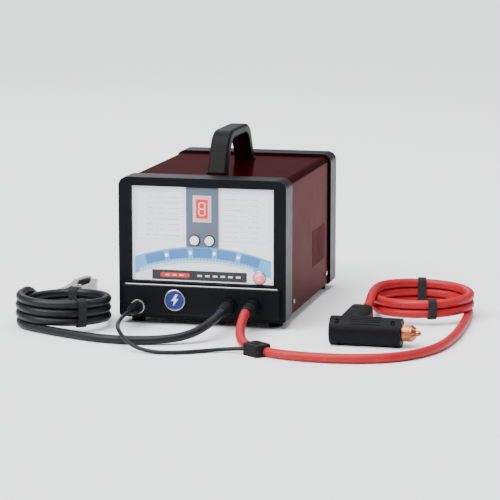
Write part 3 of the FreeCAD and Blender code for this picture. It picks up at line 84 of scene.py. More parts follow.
lens = bpy.data.cameras.new("studio_camera")
lens.lens = LENS
lens.clip_end = 60
camera = bpy.data.objects.new("studio_camera", lens)
bpy.context.scene.collection.objects.link(camera)
aim(camera, TARGET + outward(AZIMUTH, ELEVATION) * DISTANCE, TARGET)
bpy.context.scene.camera = camera
print("camera:", lens.lens, "mm, at", [round(number, 3) for number in camera.location])

# %% Floor and lamps
FLOOR_HALF = 14.0


def sheet_mesh(name, half):
    """A square sheet at the level that the feet stand on."""
    mesh = bpy.data.meshes.new(name)
    corners = [(-half, -half, 0), (half, -half, 0), (half, half, 0), (-half, half, 0)]
    mesh.from_pydata(corners, [], [(0, 1, 2, 3)])
    sheet = bpy.data.objects.new(name, mesh)
    bpy.context.scene.collection.objects.link(sheet)
    return sheet


floor = sheet_mesh("studio_floor", FLOOR_HALF)


def lamp(kind, name, place, power, spread, tint=(1.0, 1.0, 1.0)):
    """A soft lamp that looks at the case: spread is a soft box's side, or the sky's glow round a sun."""
    light = bpy.data.lights.new(name, kind)
    light.energy = power
    light.color = tint
    if kind == "SUN":
        light.angle = spread
    else:
        light.size = spread
    holder = bpy.data.objects.new(name, light)
    bpy.context.scene.collection.objects.link(holder)
    aim(holder, Vector(place), Vector((0, -0.05, 0.12)))


lamp("SUN", "open_sky", (-1.1, -1.7, 4.2), 6.4, math.radians(60))
lamp("AREA", "key_left", (-2.3, -2.4, 2.0), 62, 1.5)
lamp("AREA", "top_strip", (0.3, 0.9, 2.6), 26, 1.4)
lamp("AREA", "side_strip", (2.7, 0.5, 1.9), 16, 0.8, (0.96, 0.98, 1.0))
lamp("AREA", "back_rim", (-1.4, 3.0, 1.9), 20, 1.2)

world = bpy.data.worlds.new("studio_world")
world.use_nodes = True
world.node_tree.nodes["Background"].inputs["Color"].default_value = (0.93, 0.95, 1.0, 1)
world.node_tree.nodes["Background"].inputs["Strength"].default_value = 0.42
bpy.context.scene.world = world
print("lamps:", len(bpy.data.lights))

# %% [markdown]
# ## Writing shader sums as sums
# A finish is a small calculation at every point of a surface: a colour, a roughness and a height. Wiring
# that by hand takes many nodes. Here one class wraps a socket, so that `grain * 0.3 + 0.2` adds the two
# Math nodes by itself, and a second class holds a material and the few textures that the finishes share.

# %% Sockets as numbers
class Wire:
    """A node's output that can stand in a sum."""

    def __init__(self, finish, socket):
        self.finish = finish
        self.socket = socket

    def sum(self, operation, *values):
        """A Math node over wires and numbers."""
        return self.finish.node("ShaderNodeMath", {"operation": operation}, dict(enumerate(values)))

    def __add__(self, other):
        return self.sum("ADD", self, other)

    def __sub__(self, other):
        return self.sum("SUBTRACT", self, other)

    def __rsub__(self, other):
        return self.sum("SUBTRACT", other, self)

    def __mul__(self, other):
        return self.sum("MULTIPLY", self, other)

    def within(self, low, high):
        """0 below the low level, 1 above the high one, smooth between."""
        settings = {"interpolation_type": "SMOOTHSTEP"}
        return self.finish.node("ShaderNodeMapRange", settings, {0: self, 1: low, 2: high, 3: 0.0, 4: 1.0})


def feed(tree, socket, value):
    """Link a node's output to a socket, or set the socket to a value."""
    if isinstance(value, Wire):
        value = value.socket
    if isinstance(value, bpy.types.NodeSocket):
        tree.links.new(value, socket)
    elif isinstance(value, tuple) and len(value) == 3 and socket.type == "RGBA":
        socket.default_value = (*value, 1.0)
    else:
        socket.default_value = value


def add_node(tree, kind, settings, sockets):
    """Add a node: its settings first, then the values or links of its sockets."""
    made = tree.nodes.new(kind)
    for setting, value in (settings or {}).items():
        setattr(made, setting, value)
    for key, values in (sockets or {}).items():
        for value in values if isinstance(values, list) else [values]:
            feed(tree, made.inputs[key], value)
    return made


class Finish:
    """A material with its surface shader and the patterns that finishes share."""

    def __init__(self, name, roughness=0.5, metallic=0.0, **constants):
        self.material = bpy.data.materials.new(name)
        self.material.use_nodes = True
        self.tree = self.material.node_tree
        self.surface = self.tree.nodes["Principled BSDF"]
        self.put("Roughness", roughness)
        self.put("Metallic", metallic)
        for socket, value in constants.items():
            self.put(socket.replace("_", " "), value)
        self.place = self.node("ShaderNodeTexCoord", {}, {}, "Object")

    def put(self, socket, value):
        """Set or link one socket of the surface shader."""
        feed(self.tree, self.surface.inputs[socket], value)

    def node(self, kind, settings=None, sockets=None, out=0):
        """Add a node and wrap one of its outputs."""
        return Wire(self, add_node(self.tree, kind, settings, sockets).outputs[out])

    def stretched(self, scale):
        """Object coordinates with a scale on each axis."""
        return self.node("ShaderNodeMapping", {}, {"Vector": self.place, "Scale": scale})

    def noise(self, size_mm, detail=3.0, stretch=None, rough=0.55):
        """Cloudy variation whose features are about the given size."""
        vector = self.stretched(stretch) if stretch else self.place
        sockets = {"Vector": vector, "Scale": 1.0 / (size_mm * MM), "Detail": detail, "Roughness": rough}
        return self.node("ShaderNodeTexNoise", {}, sockets)

    def cells(self, size_mm, feature="F1"):
        """Distance to scattered points, for moulded grain and specks."""
        sockets = {"Vector": self.place, "Scale": 1.0 / (size_mm * MM)}
        return self.node("ShaderNodeTexVoronoi", {"feature": feature}, sockets)

    def bands(self, size_mm, axis, distortion=0.0):
        """Evenly spaced ridges along one axis."""
        settings = {"wave_type": "BANDS", "bands_direction": axis}
        sockets = {"Vector": self.place, "Scale": 0.314 / (size_mm * MM), "Distortion": distortion}
        return self.node("ShaderNodeTexWave", settings, sockets, "Fac")

    def blend(self, amount, first, second):
        """One colour over another."""
        sockets = {0: amount, 6: first, 7: second}
        return self.node("ShaderNodeMix", {"data_type": "RGBA"}, sockets, 2)

    def rounded(self, radius_mm):
        """The normal of the same surface with its edges rounded."""
        return self.node("ShaderNodeBevel", {"samples": 4}, {"Radius": radius_mm * MM}, "Normal")

    def edges(self, normal):
        """1 on edges and 0 on open faces, from how far rounding turns the surface."""
        face = self.node("ShaderNodeNewGeometry", {}, {}, "Normal")
        match = self.node("ShaderNodeVectorMath", {"operation": "DOT_PRODUCT"}, {0: normal, 1: face}, "Value")
        return (1 - match).within(0.02, 0.22)

    def seam(self, level_mm, half_mm=0.45):
        """1 on a thin level line round the object, 0 away from it."""
        height = self.node("ShaderNodeSeparateXYZ", {}, {0: self.place}, 2)
        away = self.node("ShaderNodeMath", {"operation": "ABSOLUTE"}, {0: height - level_mm * MM})
        return 1 - away.within(half_mm * 0.4 * MM, half_mm * MM)

    def bump(self, height, strength, depth_mm, normal=None):
        """Feed a height to the shader's normal."""
        sockets = {"Height": height, "Strength": strength, "Distance": depth_mm * MM}
        if normal:
            sockets["Normal"] = normal
        self.put("Normal", self.node("ShaderNodeBump", {}, sockets))


# %% [markdown]
# ## Moulded and painted finishes
# Plastic, paint and rubber differ less in colour than in how they break up a highlight. Moulded plastic has
# a fine spark-eroded grain and shiny rubbed edges, whose pale colour on the black mouldings is partly a
# painted highlight. Paint has a smooth coat with a slight orange peel under it. Rubber is dull and holds
# dust.
# Each finish below is one short function, so that its numbers can be read and changed.

# %% Plastic, paint and rubber
def shaded(colour, factor, lift=0.0):
    """The same colour, darker or lighter."""
    return tuple(channel * factor + lift for channel in colour)


def moulded(name, colour, roughness=0.42, grain_mm=0.55, grain=0.25, rubbed_and_highlight_colour=(0.16, 0.16, 0.17), rubbed_and_highlight_amount=0.35,
            seam_mm=None):
    """Injection-moulded plastic: fine grain, cloudy gloss, paler rubbed edges partly painted as highlight
    and, where asked, a seam with painted shade.
    """
    finish = Finish(name, roughness, Specular_IOR_Level=0.08)
    normal = finish.rounded(0.7)
    # Rubbed edges: on the black mouldings their pale colour is partly rubbing and partly a painted highlight.
    rubbed = finish.edges(normal) * finish.noise(9, 4).within(0.35, 0.7) * rubbed_and_highlight_amount
    dust = finish.noise(60, 5).within(0.45, 0.8)
    body = finish.blend(dust * 0.5, colour, shaded(colour, 1.35, 0.002))
    shade = finish.blend(rubbed, body, rubbed_and_highlight_colour)
    finish.put("Roughness", finish.noise(22, 4) * 0.16 + (roughness - 0.08) - rubbed * 0.2)
    height = finish.cells(grain_mm) * 0.6 + finish.noise(grain_mm * 1.7, 2) * 0.4
    if seam_mm is not None:
        line = finish.seam(seam_mm)
        height = height - line * 8
        # The seam line is also darkened in colour: painted shade in the gap between the two shells.
        shade = finish.blend(line * 0.85, shade, shaded(colour, 0.1))
    finish.put("Base Color", shade)
    finish.bump(height, grain, 0.08, normal)
    return finish.material


def painted(name, colour, under=(0.32, 0.31, 0.30)):
    """Glossy metallic paint on sheet steel: flakes over orange peel, faint scratches, a few bare edges."""
    finish = Finish(name, 0.3, Specular_IOR_Level=0.15, Specular_Tint=(0.25, 0.005, 0.009), Coat_Weight=0.05,
                    Coat_Roughness=0.05)
    normal = finish.rounded(0.5)
    bare = finish.edges(normal) * finish.noise(6, 5).within(0.60, 0.74)
    shade = finish.blend(finish.noise(140, 3), colour, shaded(colour, 0.62))
    scratch = finish.noise(1.4, 3, (0.05, 1.0, 1.0)).within(0.70, 0.79)
    shade = finish.blend(scratch * 0.25, shade, shaded(colour, 1.4, 0.01))
    finish.put("Base Color", finish.blend(bare, shade, under))
    finish.put("Roughness", finish.noise(45, 4) * 0.14 + 0.15 + scratch * 0.2)
    finish.put("Metallic", bare * 0.1 + 0.9)
    finish.bump(finish.noise(2.6, 2), 0.10, 0.12, normal)
    return finish.material


def printed(name, colour, roughness=0.32):
    """A printed plastic sheet: even colour, a trace of dust and finger marks in its gloss."""
    finish = Finish(name, roughness, Specular_IOR_Level=0.5)
    dust = finish.noise(35, 4).within(0.4, 0.75)
    finish.put("Base Color", finish.blend(dust * 0.6, colour, shaded(colour, 0.93)))
    finish.put("Roughness", finish.noise(16, 5) * 0.2 + (roughness - 0.1))
    finish.bump(finish.noise(0.8, 2), 0.06, 0.05)
    return finish.material


def rubber(name, colour, roughness=0.68):
    """Soft rubber: dull, a little mottled, with dust on what faces up."""
    finish = Finish(name, roughness, Specular_IOR_Level=0.15)
    facing = finish.node("ShaderNodeNewGeometry", {}, {}, "Normal")
    up = finish.node("ShaderNodeSeparateXYZ", {}, {0: facing}, 2)
    dust = up.within(0.2, 0.95) * finish.noise(7, 5).within(0.4, 0.8) * 0.12
    finish.put("Base Color", finish.blend(dust, colour, (0.22, 0.21, 0.20)))
    finish.put("Roughness", finish.noise(12, 4) * 0.2 + (roughness - 0.1))
    finish.bump(finish.noise(0.9, 3) * 0.5 + finish.cells(1.1) * 0.5, 0.22, 0.1, finish.rounded(0.6))
    return finish.material


def jacket(name, colour, scuff, roughness=0.45):
    """Extruded cable jacket: satin, with rubbed patches and the faint waviness of what lies under it."""
    finish = Finish(name, roughness, Specular_IOR_Level=0.25)
    rubbed = finish.noise(14, 6).within(0.56, 0.74)
    grime = finish.noise(55, 3).within(0.4, 0.75)
    shade = finish.blend(grime * 0.55, colour, shaded(colour, 0.72))
    finish.put("Base Color", finish.blend(rubbed * 0.35, shade, scuff))
    finish.put("Roughness", rubbed * 0.18 + finish.noise(5, 3) * 0.1 + (roughness - 0.06))
    finish.bump(finish.noise(1.2, 4) * 0.5 + finish.noise(16, 2) * 0.9, 0.3, 0.35)
    return finish.material


# %% [markdown]
# ## Metal finishes
# Bare metal is all reflection, so its detail sits in the roughness and the surface relief. Brushed steel
# has long fine lines one way, zinc plate has a patchy spangle, copper tarnishes in clouds, and pressed
# steel is scuffed.

# %% Steel, copper and aluminium
def brushed(name, colour, along=(1.0, 0.03, 1.0), roughness=0.34, tarnish=(0.30, 0.29, 0.27)):
    """Metal with fine lines along one direction."""
    finish = Finish(name, roughness, 1.0)
    normal = finish.rounded(0.4)
    lines = finish.noise(0.5, 3, along)
    cloud = finish.noise(28, 5).within(0.45, 0.8)
    edge = finish.edges(normal)
    shade = finish.blend(cloud * 0.4, colour, tarnish)
    finish.put("Base Color", finish.blend(edge * 0.5, shade, shaded(colour, 1.25)))
    finish.put("Roughness", lines * 0.22 + cloud * 0.14 + (roughness - 0.14))
    finish.bump(lines, 0.16, 0.06, normal)
    return finish.material


def plated(name, colour=(0.45, 0.45, 0.44), roughness=0.3):
    """Zinc plate: soft patches of brighter and duller grain, with small scuffs."""
    finish = Finish(name, roughness, 1.0)
    normal = finish.rounded(0.4)
    patch = finish.cells(5)
    scuff = finish.noise(1.6, 5).within(0.6, 0.72)
    finish.put("Base Color", finish.blend(patch * 0.5 + scuff * 0.3, colour, shaded(colour, 0.72)))
    finish.put("Roughness", patch * 0.14 + scuff * 0.22 + (roughness - 0.06))
    finish.bump(finish.noise(1.1, 4), 0.14, 0.06, normal)
    return finish.material


def copper(name, colour=(0.50, 0.19, 0.085), brown=(0.20, 0.07, 0.035)):
    """Bare copper with brown tarnish, brighter where it's rubbed."""
    finish = Finish(name, 0.36, 1.0)
    normal = finish.rounded(0.4)
    tarnish = finish.noise(8, 5).within(0.42, 0.7)
    edge = finish.edges(normal)
    shade = finish.blend(tarnish * 0.75, colour, brown)
    finish.put("Base Color", finish.blend(edge * 0.6, shade, (0.66, 0.30, 0.16)))
    finish.put("Roughness", tarnish * 0.24 + 0.24)
    finish.bump(finish.noise(0.8, 4), 0.16, 0.06, normal)
    return finish.material


def wound(name, colour=(0.42, 0.13, 0.045)):
    """Enamelled wire wound close, layer on layer, with painted shade in the grooves between turns."""
    finish = Finish(name, 0.28, 0.35, Coat_Weight=0.4, Coat_Roughness=0.2)
    turns_and_painted_shade = finish.bands(1.5, "Z", 0.6)
    # The bands darken the one wire colour between turns: painted shade in the grooves, with the same bands as
    # relief.
    finish.put("Base Color", finish.blend(turns_and_painted_shade, shaded(colour, 0.35), colour))
    finish.put("Roughness", finish.noise(6, 3) * 0.16 + 0.2)
    finish.bump(turns_and_painted_shade, 0.8, 0.5)
    return finish.material


def laminated(name, colour=(0.11, 0.11, 0.12)):
    """Stacked iron sheets under varnish."""
    finish = Finish(name, 0.42, 0.7, Coat_Weight=0.3, Coat_Roughness=0.3)
    sheets = finish.bands(1.0, "Y", 0.3)
    rust = finish.noise(12, 5).within(0.58, 0.74)
    varnished = finish.blend(sheets, colour, shaded(colour, 1.9))
    finish.put("Base Color", finish.blend(rust * 0.5, varnished, (0.14, 0.06, 0.03)))
    finish.put("Roughness", sheets * 0.12 + finish.noise(9, 4) * 0.2 + 0.28)
    finish.bump(sheets, 0.5, 0.2)
    return finish.material


def lit(name, colour, glow, strength, roughness=0.25):
    """A tinted lens with light behind it, made a little uneven by a fine diffusing texture."""
    finish = Finish(name, roughness, Coat_Weight=0.5, Coat_Roughness=0.05, Emission_Strength=strength)
    cloud = finish.noise(3, 2)
    finish.put("Base Color", colour)
    finish.put("Emission Color", finish.blend(cloud * 0.5, glow, colour))
    finish.put("Roughness", cloud * 0.15 + (roughness - 0.05))
    finish.bump(finish.cells(0.9), 0.12, 0.06)
    return finish.material


def circuit(name, colour=(0.012, 0.11, 0.045)):
    """Solder mask with paler tracks under it."""
    finish = Finish(name, 0.4, Coat_Weight=0.4, Coat_Roughness=0.2)
    tracks = finish.bands(4, "X", 3.0).within(0.78, 0.84)
    finish.put("Base Color", finish.blend(tracks, colour, (0.04, 0.22, 0.09)))
    finish.put("Roughness", finish.noise(9, 3) * 0.2 + 0.28)
    finish.bump(tracks, 0.2, 0.08)
    return finish.material


# %% Give every part of the frame its finish
# The pale edge colours of the black mouldings are partly painted highlight, and the gun casing's seam is
# darkened as painted shade.
FINISHES = {
    "end_frames": moulded("black_moulding", (0.0035, 0.004, 0.005), 0.36, 0.6, 0.18, (0.09, 0.09, 0.10)),
    "red_cover": painted("dark_red_paint", (0.15, 0.0015, 0.004)),
    "tray_steel": plated("zinc_sheet"),
    "screws": plated("zinc_screw", (0.46, 0.455, 0.44), 0.24),
    "soft_rubber": rubber("black_rubber", (0.006, 0.006, 0.0065)),
    "handle_black": moulded("satin_handle", (0.0045, 0.0045, 0.005), 0.46, 0.8, 0.35, (0.08, 0.08, 0.08)),
    "panel_white": printed("white_print", (0.86, 0.90, 0.96)),
    "column_grey": printed("grey_print", (0.085, 0.115, 0.16), 0.4),
    "display_red": lit("display_surround", (0.72, 0.28, 0.29), (0.95, 0.50, 0.50), 0.25),
    "button_white": moulded("white_cap", (0.80, 0.82, 0.84), 0.35, 0.5, 0.08, (0.6, 0.6, 0.6), 0.3),
    "band_blue": printed("blue_print", (0.12, 0.40, 0.72)),
    "lamp_white": lit("lamp_lens", (0.85, 0.92, 0.97), (0.9, 0.96, 1.0), 0.5),
    "pilot_red": lit("pilot_lens", (0.75, 0.16, 0.17), (1.0, 0.32, 0.30), 0.8),
    "badge_blue": printed("dark_blue_print", (0.005, 0.014, 0.15), 0.25),
    "circuit_board": circuit("green_board"),
    "iron_core": laminated("core_sheets"),
    "winding": wound("enamelled_wire"),
    "copper": copper("bare_copper"),
    "aluminium_parts": brushed("extruded_aluminium", (0.50, 0.51, 0.52)),
    "module_black": moulded("black_resin", (0.02, 0.02, 0.022), 0.38, 0.7, 0.12),
    "fan_black": moulded("fan_plastic", (0.024, 0.024, 0.026), 0.45, 0.7, 0.15),
    "wire_guard": plated("guard_wire", (0.42, 0.42, 0.42), 0.22),
    "gun_black": moulded("gun_casing", (0.005, 0.005, 0.006), 0.48, 0.7, 0.5, (0.10, 0.10, 0.11), 0.5, 21),
    "trigger_red": moulded("red_trigger", (0.42, 0.016, 0.016), 0.38, 0.6, 0.15, (0.6, 0.2, 0.18), 0.4),
    "clamp_steel": brushed("pressed_steel", (0.36, 0.36, 0.365), (1.0, 0.05, 1.0), 0.38),
    "red_jacket": jacket("red_jacket", (0.36, 0.006, 0.012), (0.48, 0.07, 0.07)),
    "black_jacket": jacket("black_jacket", (0.005, 0.005, 0.006), (0.030, 0.030, 0.030)),
}
for part in frame["record"]["subparts"]:
    for holder in nodes[part["node"]].material_slots:
        holder.material = FINISHES[part["material_slot"]]
floor_finish = Finish("pale_floor", 0.6, Specular_IOR_Level=0.2)
floor_cloud = floor_finish.noise(900, 3)
floor_finish.put("Base Color", floor_finish.blend(floor_cloud, (0.90, 0.91, 0.92), (0.87, 0.88, 0.90)))
floor.data.materials.append(floor_finish.material)
print("finishes:", len(FINISHES))

# %% [markdown]
# ## The cables
# Each cable is one smooth line from where it leaves the case to where it ends. A NURBS spline of order 3
# runs inside its control points without kinks, which is how a stiff cable lies. The control points are the
# route that the design settled. The spare length is wound into a neat coil, and a loop works out the coil's
# points.

# %% Cable splines
GUN_DIAMETER, EARTH_DIAMETER, LEAD_DIAMETER = 0.014, 0.013, 0.006
GUN_LEAD = [(80, -240, 34), (82, -286, 23), (100, -343, 7), (160, -388, 7), (250, -398, 7), (330, -372, 7),
            (376, -302, 7), (388, -205, 7), (388, -112, 7), (384, -30, 7)]
GUN_TAIL = [(240, -30, 42), (239.5, -64, 40), (240.5, -102, 27), (240, -138, 21)]
EARTH_LEAD = [(44, -240, 34), (40, -280, 26), (12, -318, 11), (-40, -337, 6.5), (-106, -341, 6.5),
              (-178, -313, 6.5), (-239, -282.16, 6.5)]
EARTH_TAIL = [(-272, -225, 47.67), (-272.5, -192, 46), (-274.5, -150, 25), (-274, -112, 12)]
CONTROL_LEAD = [(-98, -236, 28), (-98, -266, 29.5), (-95, -312, 26), (-82, -356, 25), (-58, -384, 11),
                (-24, -397, 3.2), (18, -392, 3.2), (50, -372, 3.2), (82, -358, 5), (110.4, -364.7, 8)]
GUN_COIL, EARTH_COIL = ((312, -30), 72), ((-206, -225), 66)
POINTS_PER_TURN, LOOSENESS, WOBBLE = 16, 0.012, 7.3


def coil_points(centre, radius, start_degrees, turns, low, high):
    """Control points of a stacked coil; the sign of turns is its direction."""
    count = round(abs(turns) * POINTS_PER_TURN)
    reach = radius / math.cos(math.pi / POINTS_PER_TURN)
    points = []
    for index in range(1, count):
        share = index / count
        angle = math.radians(start_degrees + 360 * turns * share)
        swing = reach * (1 + LOOSENESS * math.sin(WOBBLE * angle / (2 * math.pi)))
        points.append((centre[0] + swing * math.cos(angle), centre[1] + swing * math.sin(angle),
                       low + (high - low) * share))
    return points


def cable(name, route, diameter, slot):
    """A round cable along a route given in millimetres."""
    curve = bpy.data.curves.new(name, "CURVE")
    curve.dimensions = "3D"
    spline = curve.splines.new("NURBS")
    spline.points.add(len(route) - 1)
    for point, (x, y, z) in zip(spline.points, route):
        point.co = (x * MM, y * MM, z * MM, 1.0)
    spline.order_u = 3
    spline.use_endpoint_u = True
    spline.resolution_u = 6
    curve.bevel_depth = diameter / 2
    curve.bevel_resolution = 5
    curve.use_fill_caps = True
    curve.materials.append(FINISHES[slot])
    piece = bpy.data.objects.new(name, curve)
    bpy.context.scene.collection.objects.link(piece)
    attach(piece, "unit")
    return piece


gun_route = GUN_LEAD + coil_points(*GUN_COIL, 0, 2.5, 7, 42) + GUN_TAIL
earth_route = EARTH_LEAD + coil_points(*EARTH_COIL, -120, -3.1667, 6.5, 47.67) + EARTH_TAIL
gun_cable = cable("gun_cable", gun_route, GUN_DIAMETER, "red_jacket")
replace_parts(gun_cable, "gun_cable_lead", "gun_cable_coil", "gun_cable_tail")
earth_cable = cable("earth_cable", earth_route, EARTH_DIAMETER, "black_jacket")
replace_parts(earth_cable, "earth_cable_lead", "earth_cable_coil", "earth_cable_tail")
trigger_lead = cable("trigger_lead", CONTROL_LEAD, LEAD_DIAMETER, "black_jacket")
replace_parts(trigger_lead, "control_lead")
print("cable points:", len(gun_route), len(earth_route), len(CONTROL_LEAD))

# %% [markdown]
# ## Tools for the small pieces
# Most of the detail on this machine is of four kinds. Printed marks are flat outlines with a little
# thickness. Sleeves and rings are turned shapes. Straps are flat bands round a closed path. Screws and ribs
# repeat. The first three are a few lines of mesh code each, because their points are easy to work out. All
# places are in millimetres and go straight into the mesh, so that every object stays at the origin.

# %% Putting a shape in the scene
def mounted(name, mesh, slot, finish=None, body="unit", smooth=35):
    """Put a mesh in the scene as a piece, in its slot's own finish unless another is given."""
    mesh.materials.clear()
    mesh.materials.append(finish or FINISHES[slot])
    mesh.shade_smooth()
    mesh.set_sharp_from_angle(angle=math.radians(smooth))
    thing = bpy.data.objects.new(name, mesh)
    bpy.context.scene.collection.objects.link(thing)
    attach(thing, body)
    return thing


def finished(name, parts, slot, finish=None, body="unit", smooth=35):
    """A piece from vertices in millimetres and faces, with its faces turned outward."""
    vertices, faces = parts
    mesh = bpy.data.meshes.new(name)
    mesh.from_pydata([Vector(vertex) * MM for vertex in vertices], [], faces)
    work = bmesh.new()
    work.from_mesh(mesh)
    bmesh.ops.recalc_face_normals(work, faces=work.faces)
    work.to_mesh(mesh)
    work.free()
    return mounted(name, mesh, slot, finish, body, smooth)


def node_box(name):
    """A node's lowest and highest corners, in millimetres."""
    low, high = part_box(name)
    return Vector(low) / MM, Vector(high) / MM


def centre_of(name):
    """The middle of a node's box, in millimetres."""
    return tuple((low + high) / 2 for low, high in zip(*node_box(name)))


# %% Flat, turned and wrapped shapes
def slab_parts(outlines, back, front, across="Y"):
    """Vertices and faces of flat outlines given thickness between two levels; across is the thin axis."""
    vertices, faces = [], []
    for outline in outlines:
        first, count = len(vertices), len(outline)
        for level in (front, back):
            for u, v in outline:
                vertices.append((u, level, v) if across == "Y" else (u, v, level))
        ring = range(count)
        faces.append(tuple(first + index for index in ring))
        faces.append(tuple(first + count + index for index in reversed(ring)))
        for index in ring:
            after = (index + 1) % count
            faces.append((first + index, first + count + index, first + count + after, first + after))
    return vertices, faces


def bar(x, z, rounding=0.0, steps=4):
    """A rectangle's outline between two x and two z levels, with its corners rounded."""
    if not rounding:
        return [(x[0], z[0]), (x[1], z[0]), (x[1], z[1]), (x[0], z[1])]
    outline = []
    for corner, (cx, cz) in enumerate(((x[1], z[1]), (x[0], z[1]), (x[0], z[0]), (x[1], z[0]))):
        centre = (cx - rounding * (1, -1, -1, 1)[corner], cz - rounding * (1, 1, -1, -1)[corner])
        for step in range(steps + 1):
            angle = math.radians(90 * corner + 90 * step / steps)
            outline.append((centre[0] + rounding * math.cos(angle), centre[1] + rounding * math.sin(angle)))
    return outline


def turned_parts(profile, start, axis, sides=40):
    """A shape turned round an axis from its (radius, distance) outline: a solid or a ring."""
    along = {"X": Vector((1, 0, 0)), "Y": Vector((0, 1, 0)), "Z": Vector((0, 0, 1))}[axis[-1]]
    along = -along if axis[0] == "-" else along
    out = Vector((0, 0, 1)) if axis[-1] != "Z" else Vector((1, 0, 0))
    side = along.cross(out)
    vertices, rings, faces = [], [], []
    for radius, distance in profile:
        middle = Vector(start) + along * distance
        ring = []
        for index in range(1 if radius == 0 else sides):
            angle = 2 * math.pi * index / sides
            ring.append(len(vertices))
            vertices.append(middle + (out * math.cos(angle) + side * math.sin(angle)) * radius)
        rings.append(ring)
    for lower, upper in zip(rings, rings[1:]):
        for index in range(sides):
            quad = [lower[index % len(lower)], lower[(index + 1) % len(lower)],
                    upper[(index + 1) % len(upper)], upper[index % len(upper)]]
            corners = list(dict.fromkeys(quad))
            if len(corners) > 2:
                faces.append(tuple(corners))
    return vertices, faces


def together(groups):
    """Join the vertices and faces of several shapes."""
    vertices, faces = [], []
    for more_vertices, more_faces in groups:
        shift = len(vertices)
        vertices += more_vertices
        faces += [tuple(index + shift for index in face) for face in more_faces]
    return vertices, faces


def wrapped_parts(path, width_way, width, thickness):
    """A flat band round a closed path of points, with its width along one direction."""
    vertices, faces = [], []
    count = len(path)
    middle = sum(path, Vector()) / count
    half = width_way * width / 2
    for index, point in enumerate(path):
        along = (path[(index + 1) % count] - path[index - 1]).normalized()
        outward_way = along.cross(width_way).normalized()
        if outward_way.dot(point - middle) < 0:
            outward_way = -outward_way
        outer = point + outward_way * thickness
        vertices += [point - half, point + half, outer + half, outer - half]
    for index in range(count):
        here, after = index * 4, (index + 1) % count * 4
        for corner in range(4):
            next_corner = (corner + 1) % 4
            faces.append((here + corner, here + next_corner, after + next_corner, after + corner))
    return vertices, faces


def circle_of(centre, axis, radius, count):
    """Places round a circle in the plane across an axis, each with the axis as its direction."""
    x, y, z = centre
    spots = []
    for index in range(count):
        angle = 2 * math.pi * index / count
        across, up = radius * math.cos(angle), radius * math.sin(angle)
        spots.append(((x, y + across, z + up) if axis[0] else (x + across, y, z + up), axis))
    return spots


# %% [markdown]
# ## One screw and one rib, repeated by Geometry Nodes
# A screw or a rib is the same shape many times over. A Geometry Nodes tree makes it once and puts a copy on
# every point of a small guide mesh. Each guide point carries the direction that its copy faces. The cross
# recess is a boolean cut, which is slow by hand and free in a tree. The result is turned into a plain mesh
# at the end.

# %% Geometry Nodes with named inputs
class Grower:
    """A node tree that grows copies on a guide mesh."""

    def __init__(self, name, numbers):
        self.tree = bpy.data.node_groups.new(name, "GeometryNodeTree")
        self.tree.interface.new_socket("Guide", in_out="INPUT", socket_type="NodeSocketGeometry")
        self.keys = {}
        for label in numbers:
            made = self.tree.interface.new_socket(label, in_out="INPUT", socket_type="NodeSocketFloat")
            self.keys[label] = made.identifier
        made = self.tree.interface.new_socket("Finish", in_out="INPUT", socket_type="NodeSocketMaterial")
        self.keys["Finish"] = made.identifier
        self.tree.interface.new_socket("Copies", in_out="OUTPUT", socket_type="NodeSocketGeometry")
        self.entry = self.tree.nodes.new("NodeGroupInput")
        self.exit = self.tree.nodes.new("NodeGroupOutput")

    def given(self, label):
        """One of the tree's inputs."""
        return self.entry.outputs[label]

    def node(self, kind, settings=None, sockets=None):
        """Add a node and give its first output."""
        return add_node(self.tree, kind, settings, sockets).outputs[0]

    def times(self, label, factor):
        """One of the tree's numbers, multiplied."""
        return self.node("ShaderNodeMath", {"operation": "MULTIPLY"}, {0: self.given(label), 1: factor})

    def copies(self, shape):
        """Put the shape on every guide point, facing the point's way, and end the tree."""
        way = self.node("GeometryNodeInputNamedAttribute", {"data_type": "FLOAT_VECTOR"}, {0: "way"})
        spin = self.node("FunctionNodeAlignRotationToVector", {"axis": "Z"}, {"Vector": way})
        sockets = {"Points": self.given("Guide"), "Instance": shape, "Rotation": spin}
        placed = self.node("GeometryNodeInstanceOnPoints", {}, sockets)
        real = self.node("GeometryNodeRealizeInstances", {}, {0: placed})
        sockets = {"Geometry": real, "Material": self.given("Finish")}
        self.tree.links.new(self.node("GeometryNodeSetMaterial", {}, sockets), self.exit.inputs[0])

    def grow(self, name, spots, slot, finish=None, body="unit", **numbers):
        """Run the tree on (place, way) pairs in millimetres and keep the result as a plain mesh."""
        guide = bpy.data.meshes.new(name + "_guide")
        guide.from_pydata([Vector(place) * MM for place, way in spots], [], [])
        ways = guide.attributes.new("way", "FLOAT_VECTOR", "POINT")
        for holder, (place, way) in zip(ways.data, spots):
            holder.vector = way
        helper = bpy.data.objects.new(name + "_guide", guide)
        bpy.context.scene.collection.objects.link(helper)
        modifier = helper.modifiers.new("grow", "NODES")
        modifier.node_group = self.tree
        for label, value in numbers.items():
            modifier[self.keys[label.replace("_", " ")]] = value * MM
        modifier[self.keys["Finish"]] = finish or FINISHES[slot]
        drawn = helper.evaluated_get(bpy.context.evaluated_depsgraph_get())
        mesh = bpy.data.meshes.new_from_object(drawn)
        helper.modifiers.remove(modifier)
        bpy.data.objects.remove(helper)
        return mounted(name, mesh, slot, finish, body)


